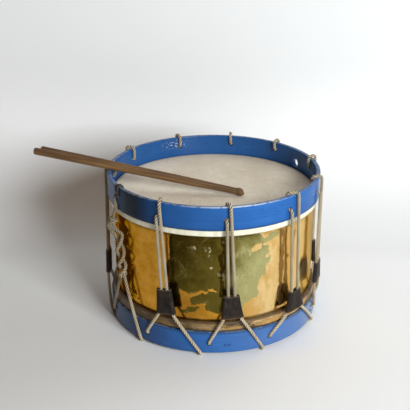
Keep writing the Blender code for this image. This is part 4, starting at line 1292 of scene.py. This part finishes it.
def build_sleeve(index):
    """A sleeve folded from leather, tight over its two strands."""
    name = f"tug_{index:02d}"
    length = TUG_HEIGHT[index]
    bottom = (TUG_SPREAD[index] + TUG_THICKNESS) / 2
    top = TUG_TOP_WIDTH / 2
    thick = TUG_THICKNESS / 2
    bm = bmesh.new()
    ring = []
    for step in range(40):
        turn = math.tau * step / 40
        ring.append(bm.verts.new((squared(math.cos(turn), 0.55), squared(math.sin(turn), 0.62), 0)))
    edges = [bm.edges.new(pair) for pair in zip(ring, ring[1:] + ring[:1])]
    rows = 16
    for _ in range(rows):
        grown = bmesh.ops.extrude_edge_only(bm, edges=edges)["geom"]
        edges = [item for item in grown if isinstance(item, bmesh.types.BMEdge)]
        moved = [item for item in grown if isinstance(item, bmesh.types.BMVert)]
        bmesh.ops.translate(bm, vec=(0, 0, 1 / rows), verts=moved)
    layer = bm.verts.layers.float.new("edge")
    for vertex in bm.verts:
        across, out, up = vertex.co
        wide = bottom + (top - bottom) * up - 0.0007 * math.sin(math.pi * up)
        seed = Vector((across * 2 + index * 7.3, out, up * 3))
        hollow = 1 - 0.16 * max(0, 1 - (across / 0.5) ** 2) * (1 - 0.3 * up)
        hem = 0.0014 * (1 - across * across) * (1 - eased_step(up, 0, 0.35))
        notch = 0.0008 * (1 - across * across) * eased_step(up, 0.7, 1)
        vertex[layer] = max(1 - up / 0.07, (up - 0.94) / 0.06, 0)
        vertex.co = Vector((across * wide * (1 + 0.012 * noise.noise(seed * 1.7)),
                            out * (thick * hollow - 0.0003 * (1 + noise.noise(seed * 2.3))),
                            up * length - hem - notch + 0.00035 * noise.noise(seed * 3.1)))
    bmesh.ops.recalc_face_normals(bm, faces=bm.faces)
    bmesh.ops.solidify(bm, geom=bm.faces[:], thickness=TUG_LEATHER * 0.9)
    rims = [edge for edge in bm.edges if len(edge.link_faces) == 2
            and edge.calc_face_angle(0) > 1.0]
    bmesh.ops.bevel(bm, geom=rims, offset=0.00035, offset_type="OFFSET", segments=2,
                    profile=0.5, affect="EDGES", material=-1)
    bmesh.ops.transform(bm, matrix=tug_frame(index), verts=bm.verts)
    piece(f"{name}_sleeve", bm, LEATHER, "dark_leather", name, name, sharp=50)


def build_seam(index):
    """The sleeve's lap at its back, stitched down."""
    name = f"tug_{index:02d}"
    length = TUG_HEIGHT[index]
    thick = TUG_THICKNESS / 2
    mould = tug_frame(index)
    lap = bmesh.new()
    flat = [(-0.0032, -0.0002), (-0.0030, -0.0009), (-0.0022, -0.0012), (0.0022, -0.0012),
            (0.0030, -0.0009), (0.0032, -0.0002), (0.0032, 0.0003), (-0.0032, 0.0003)]
    frames = []
    for step in range(13):
        up = step / 12
        frames.append(mould @ Matrix.Translation((0.001 * math.sin(3 * up + index),
                                                  -thick * (0.86 + 0.10 * up),
                                                  0.001 + up * (length - 0.003))))
    draw_along(lap, flat, frames, None, "edge")
    piece(f"{name}_lap", lap, LEATHER, "dark_leather", name, name, sharp=40)

    thread = bmesh.new()
    section = [(0.0004 * math.cos(math.tau * step / 6), 0.0004 * math.sin(math.tau * step / 6))
               for step in range(6)]
    count = max(5, round(length / 0.0068))
    for stitch in range(count):
        low = 0.004 + (length - 0.009) * stitch / (count - 1)
        back = -thick * (0.86 + 0.10 * low / length) - 0.0014
        points = []
        for step in range(7):
            share = step / 6
            points.append(mould @ Vector((0.0042 - 0.0036 * share,
                                          back + 0.0016 * (2 * share - 1) ** 4,
                                          low + 0.0026 * share)))
        draw_along(thread, section, carried_frames(points))
    piece(f"{name}_stitches", thread, HEMP, "hemp_cord", name, name, sharp=70)


# Small fittings

def pin(name, profile, angle, radius, height, finish, slot, node):
    """A small turned piece standing radially in a hoop, its own axis outward."""
    bm = turned(profile, 20, False, (0, 0))
    bmesh.ops.transform(bm, matrix=facing(angle, radius, height), verts=bm.verts)
    return piece(name, bm, finish, slot, "drum", node, sharp=50)


def build_nails():
    """Hammered nail heads, painted over with the hoops."""
    length = HOOP_WALL + 2 * GAP + FACET
    profile = [(0, -length), (0.0005, -length + 0.0006), (0.0008, -0.004), (0.0008, 0),
               (0.0020, 0), (0.0022, 0.0003), (0.0021, 0.0007), (0.0015, 0.0011),
               (0.0008, 0.0012), (0, 0.0012)]
    for part, places in (("top", TOP_NAILS), ("bottom", BOTTOM_NAILS)):
        for number, (angle, height) in enumerate(places):
            pin(f"{part}_nail_head_{number + 1}", profile, angle, HOOP_RADIUS + GAP, height,
                PAINTED_IRON, "iron_nail", f"{part}_hoop_nail_{number + 1}")


def build_rim_strap():
    """A leather loop bent over the upper rim, its ends curling, riveted through the hoop."""
    inner = HOOP_BORE - GAP - FACET - STRAP_THICKNESS / 2
    outer = HOOP_RADIUS + 2 * GAP + STRAP_THICKNESS / 2
    crown = RIM + GAP + STRAP_THICKNESS / 2
    foot = RIM - STRAP_LEG
    bend = 0.0024
    path = [(outer + 0.0008, foot - 0.0006), (outer + 0.0003, foot + 0.003), (outer, foot + 0.006),
            (outer, RIM - 0.008), (outer, crown - bend)]
    path += [(outer - bend * (1 - math.cos(math.radians(turn))),
              crown - bend * (1 - math.sin(math.radians(turn)))) for turn in (22, 45, 68)]
    path += [(outer - bend, crown), ((outer + inner) / 2, crown + 0.0002), (inner + bend, crown)]
    path += [(inner + bend * (1 - math.cos(math.radians(turn))),
              crown - bend * (1 - math.sin(math.radians(turn)))) for turn in (68, 45, 22)]
    path += [(inner, crown - bend), (inner, RIM - 0.009), (inner, foot + 0.005),
             (inner - 0.0002, foot + 0.002), (inner - 0.0006, foot)]
    side = outward(STRAP_ANGLE + 90)
    out = outward(STRAP_ANGLE)
    section = []
    for step in range(28):
        turn = math.tau * step / 28
        section.append((STRAP_WIDTH / 2 * squared(math.cos(turn), 0.35),
                        STRAP_THICKNESS / 2 * squared(math.sin(turn), 0.6)))
    frames = []
    for number, (radius, height) in enumerate(path):
        before = path[max(number - 1, 0)]
        after = path[min(number + 1, len(path) - 1)]
        way = (out * (after[0] - before[0]) + Vector((0, 0, after[1] - before[1]))).normalized()
        frames.append(placed(polar(STRAP_ANGLE, radius, height), side, way.cross(side), way))
    bm = bmesh.new()
    draw_along(bm, section, frames, [1 if abs(x) > 0.0055 else 0 for x, _ in section], "edge")
    for vertex in bm.verts:
        vertex.co += side * 0.0005 * wander(vertex.co, 110, 3)
    strap = piece("rim_strap_loop", bm, LEATHER, "dark_leather", "drum", "rim_strap", sharp=60)
    drill(strap, [(STRAP_ANGLE, RIM - RIVET_DROP, 0.0036)])

    span = outer - inner + STRAP_THICKNESS + 2 * GAP
    profile = [(0, -span - 0.0012), (0.0023, -span - 0.0010), (0.0031, -span - 0.0005),
               (0.0033, -span), (0.0015, -span), (0.0015, 0), (0.0033, 0), (0.0032, 0.0004),
               (0.0024, 0.0010), (0.0012, 0.00125), (0, 0.0012)]
    pin("rim_strap_pin", profile, STRAP_ANGLE, outer + STRAP_THICKNESS / 2 + GAP, RIM - RIVET_DROP,
        IRON, "iron_nail", "rim_strap_rivet")


def build_snares():
    """Two twisted gut snares across the lower head, each knotted outside the lower hoop."""
    level = SNARE_LEVEL - GUT / 2 - 0.0006
    rise = HOOP_LIFT + GUT_RISE
    section = []
    for step in range(10):
        turn = math.tau * step / 10
        reach = GUT / 2 * (1 + 0.10 * math.cos(2 * turn))
        section.append((reach * math.cos(turn), reach * math.sin(turn)))
    for number, (front, back) in enumerate(gut_angles()):
        half = [(HOOP_RADIUS + 0.0012, rise), (HOOP_BORE - 0.001, rise),
                (HOOP_BORE - 0.005, rise + 0.0015), (SHELL_RADIUS - 0.028, level - 0.001),
                (SHELL_RADIUS - 0.036, level)]
        points = [polar(front, *place) for place in half]
        points += [polar(back, *place) for place in half[::-1]]
        path = []
        for start, end in zip(points, points[1:]):
            count = max(1, round((end - start).length / 0.0022))
            path += [start.lerp(end, step / count) for step in range(count)]
        path = smoothed(path + points[-1:], 1)
        bm = bmesh.new()
        draw_along(bm, section, laid_frames(path, GUT_LAY))
        piece(f"snare_line_{number + 1}", bm, GUT_FINISH, "gut", "drum", f"snare_gut_{number + 1}",
              sharp=60)
        bm = bmesh.new()
        for angle in (front, back):
            loop = knot_points(angle, HOOP_RADIUS + GAP + 0.0015, rise, 0.00048, 0.0008, 41)
            draw_along(bm, section, laid_frames(loop, GUT_LAY))
        piece(f"snare_knots_{number + 1}", bm, GRIMY_GUT, "gut", "drum",
              f"snare_gut_{number + 1}", sharp=60)


# Drumsticks

STICK_BUTT = 0.0135
STICK_WAIST = 0.0115
STICK_NECK = 0.0078
STICK_BEAD = 0.011
BEAD_LENGTH = 0.014
STICK_TAPER = 0.13
STICK_TURN = 172.6
STICK_GAP = 0.0003
FAR_STICK_SHIFT = 0.0085
FAR_STICK_CLOSING = 0.6


def stick_profile(length):
    """A stick's section along its own axis, butt at 0 and tip at its length."""
    butt = STICK_BUTT / 2
    neck = length - BEAD_LENGTH
    bead = STICK_BEAD / 2
    taper = length - STICK_TAPER
    points = [(0, 0)]
    points += [(butt * math.sin(math.radians(turn)), 0.0034 * (1 - math.cos(math.radians(turn))))
               for turn in (25, 45, 62, 76)]
    points.append((butt, 0.0055))
    for step in range(1, 25):
        along = 0.0055 + (taper - 0.0055) * step / 24
        share = eased_step(along, 0.02, taper)
        points.append((butt + (STICK_WAIST / 2 - butt) * share, along))
    for step in range(1, 17):
        share = step / 16
        points.append((STICK_WAIST / 2 + (STICK_NECK / 2 - STICK_WAIST / 2) * share ** 1.25,
                       taper + (neck - 0.0006 - taper) * share))
    points += [(STICK_NECK / 2 * 0.97, neck), (bead * 0.80, neck + 0.0010)]
    for step in range(1, 12):
        turn = math.radians(-38 + 128 * step / 12)
        points.append((bead * math.cos(turn), neck + 0.0060 + 0.0080 * math.sin(turn)))
    return points + [(0, length)]


def lay_stick(name, node, length, tip, turn, finish):
    """Lays a stick with its bead on the head and its shaft on the rim's inner edge."""
    bead = BEAD_LENGTH * 0.58
    way = Vector((math.cos(math.radians(turn)), math.sin(math.radians(turn)), 0))
    along = tip.dot(way)
    reach = -along + math.sqrt(along * along - tip.length_squared + HOOP_BORE ** 2)
    tip_height = BATTER_LEVEL + STICK_BEAD / 2 + STICK_GAP
    slope = 0.1
    for _ in range(6):
        rise = RIM + (STICK_BUTT / 2 + STICK_GAP) / math.cos(slope) - tip_height
        slope = math.atan2(rise, reach)
    lean = (way * math.cos(slope) + Vector((0, 0, math.sin(slope)))).normalized()
    centre = Vector((AXIS.x + tip.x, AXIS.y + tip.y, tip_height))
    butt = centre + lean * (length - bead)
    side = Vector((0, 0, 1)).cross(lean).normalized()
    bm = turned(stick_profile(length), 36, False, (0, 0))
    for vertex in bm.verts:
        place = vertex.co.copy()
        shift = 0.0001 * noise.noise(Vector((place.x * 90, place.y * 90, place.z * 16 + length)))
        way_out = Vector((place.x, place.y, 0))
        if way_out.length > 1e-4:
            vertex.co += way_out.normalized() * (shift - 0.0001)
    bmesh.ops.transform(bm, matrix=placed(butt, side, side.cross(lean), -lean), verts=bm.verts)
    piece(name, bm, finish, "stick_wood", node, node, sharp=50)


def build_sticks():
    """Both sticks side by side, the far one a little shorter and set back."""
    near_length = 0.402
    far_length = 0.391
    near_tip = Vector((0.0485, -0.050, 0))
    lay_stick("near_drumstick", "near_stick", near_length, near_tip, STICK_TURN, NEAR_WOOD)
    turn = math.radians(STICK_TURN)
    way = Vector((math.cos(turn), math.sin(turn), 0))
    sideways = Vector((way.y, -way.x, 0))
    closing = math.radians(FAR_STICK_CLOSING)
    apart = STICK_BUTT + 2 * STICK_GAP - (near_length - STICK_TAPER) * math.sin(closing)
    far_tip = near_tip + sideways * apart + way * (near_length - far_length - FAR_STICK_SHIFT)
    lay_stick("far_drumstick", "far_stick", far_length, far_tip, STICK_TURN - FAR_STICK_CLOSING,
              FAR_WOOD)


# Camera, floor and light

FOCAL = 865.18 / 410
CAMERA_DISTANCE = 8.416 * HOOP_RADIUS
CAMERA_ELEVATION = 0.4242
CAMERA_YAW = -0.0098
CAMERA_PITCH = -0.0349
CAMERA_ROLL = -0.0029
SENSOR = 36
FLOOR_REACH = 5
SWEEP_START = 0.24
SWEEP_RADIUS = 0.22
WALL_HEIGHT = 2.4


def make_camera():
    """The camera in front of the drum and above it, looking down at its middle."""
    centre = Vector((AXIS.x, AXIS.y, HOOP_LIFT + DRUM_HEIGHT / 2))
    back = Vector((0, -math.cos(CAMERA_ELEVATION), math.sin(CAMERA_ELEVATION)))
    right = Vector((1, 0, 0))
    level = Matrix((right, back.cross(right), back))
    aimed = (Matrix.Rotation(CAMERA_ROLL, 3, "Z") @ Matrix.Rotation(CAMERA_PITCH, 3, "X")
             @ Matrix.Rotation(CAMERA_YAW, 3, "Y") @ level)
    data = bpy.data.cameras.new("camera")
    data.lens = FOCAL * SENSOR
    data.sensor_width = SENSOR
    camera = bpy.data.objects.new("camera", data)
    bpy.context.collection.objects.link(camera)
    camera.matrix_world = (Matrix.Translation(centre + back * CAMERA_DISTANCE)
                           @ aimed.transposed().to_4x4())
    bpy.context.scene.camera = camera


def make_stage():
    """A pale floor that sweeps up into a backdrop close behind the drum, with painted light:
    lighter towards the front right and across the bend.
    """
    profile = [(-FLOOR_REACH, 0), (SWEEP_START - 0.6, 0)]
    profile += [(SWEEP_START + SWEEP_RADIUS * math.sin(math.radians(turn)),
                 SWEEP_RADIUS - SWEEP_RADIUS * math.cos(math.radians(turn)))
                for turn in range(0, 91, 6)]
    profile.append((SWEEP_START + SWEEP_RADIUS, WALL_HEIGHT))
    bm = bmesh.new()
    ring = [bm.verts.new((AXIS.x - FLOOR_REACH, AXIS.y + y, height)) for y, height in profile]
    edges = [bm.edges.new(pair) for pair in zip(ring, ring[1:])]
    grown = bmesh.ops.extrude_edge_only(bm, edges=edges)["geom"]
    moved = [item for item in grown if isinstance(item, bmesh.types.BMVert)]
    bmesh.ops.translate(bm, vec=(2 * FLOOR_REACH, 0, 0), verts=moved)
    bm.normal_update()
    if bm.faces[:][0].normal.z < 0:
        bmesh.ops.reverse_faces(bm, faces=bm.faces[:])
    stage = object_from("backdrop", bm)
    stage.data.shade_smooth()
    pale = Finish("pale_backdrop", (0.77, 0.785, 0.79), 0.95, Specular_IOR_Level=0.1)
    x, y, z = pale.apart()
    # painted light: the floor lighter towards the front right, and the backdrop lighter across its
    # bend
    painted_floor_light = pale.mix((x - y * 0.35).above(-0.08, 0.32), (0.68, 0.695, 0.695), (0.87, 0.89, 0.905))
    upright = pale.mix(z.near(0.2, 0.2), (0.735, 0.755, 0.765), (0.82, 0.84, 0.85))
    pale.feed("Base Color", pale.mix(y.above(0.28, 0.10), painted_floor_light, upright))
    rays = Value(pale, pale.node("ShaderNodeLightPath").outputs["Is Camera Ray"])
    behind = Value(pale, pale.node("ShaderNodeNewGeometry").outputs["Backfacing"])
    clear = Value(pale, pale.node("ShaderNodeBsdfTransparent").outputs[0])
    solid = Value(pale, pale.shader.outputs[0])
    mixed = pale.node("ShaderNodeMixShader", None, {0: behind * rays, 1: solid, 2: clear})
    pale.tree.links.new(mixed.outputs[0], pale.tree.nodes["Material Output"].inputs[0])
    stage.data.materials.append(pale.material)


def make_lamp(name, angle, elevation, distance, size, power, colour):
    """A soft square lamp round the drum, turned towards it."""
    target = Vector((AXIS.x, AXIS.y, 0.15))
    rise = math.radians(elevation)
    place = target + outward(angle) * distance * math.cos(rise)
    place.z += distance * math.sin(rise)
    data = bpy.data.lights.new(name, "AREA")
    data.size = size
    data.energy = power
    data.color = colour
    lamp = bpy.data.objects.new(name, data)
    bpy.context.collection.objects.link(lamp)
    lamp.location = place
    lamp.rotation_mode = "QUATERNION"
    lamp.rotation_quaternion = (target - place).to_track_quat("-Z", "Y")
    lamp.visible_camera = False


def light_stage():
    """One window-like key lamp from the front right, and a dim warm room all round."""
    world = bpy.data.worlds.new("dim_room")
    bpy.context.scene.world = world
    room = Nodes(world)
    rays = room.node("ShaderNodeLightPath").outputs
    sight, glossy, through = [Value(room, rays[f"Is {kind} Ray"])
                              for kind in ("Camera", "Glossy", "Transmission")]
    dim = room.tree.nodes["Background"]
    dim.inputs["Color"].default_value = (1.0, 0.52, 0.20, 1)
    dim.inputs["Strength"].default_value = 0.13
    pale = room.node("ShaderNodeBackground", None,
                     {"Color": (0.90, 0.93, 0.95, 1), "Strength": 0.8})
    mixed = room.node("ShaderNodeMixShader", None,
                      {0: sight.most(glossy).most(through), 1: Value(room, dim.outputs[0]),
                       2: Value(room, pale.outputs[0])})
    room.tree.links.new(mixed.outputs[0], room.tree.nodes["World Output"].inputs["Surface"])
    make_lamp("key", 31.5, 22, 3.5, 1.35, 150, (0.95, 0.985, 1.0))


dress_nodes()
build_lacing()
build_spare_cord()
build_shell()
build_heads()
build_hoops()
for tug in range(1, LACE_COUNT):
    build_sleeve(tug)
    build_seam(tug)
build_nails()
build_rim_strap()
build_snares()
build_sticks()
make_camera()
make_stage()
light_stage()
bpy.context.scene.view_settings.view_transform = "Standard"
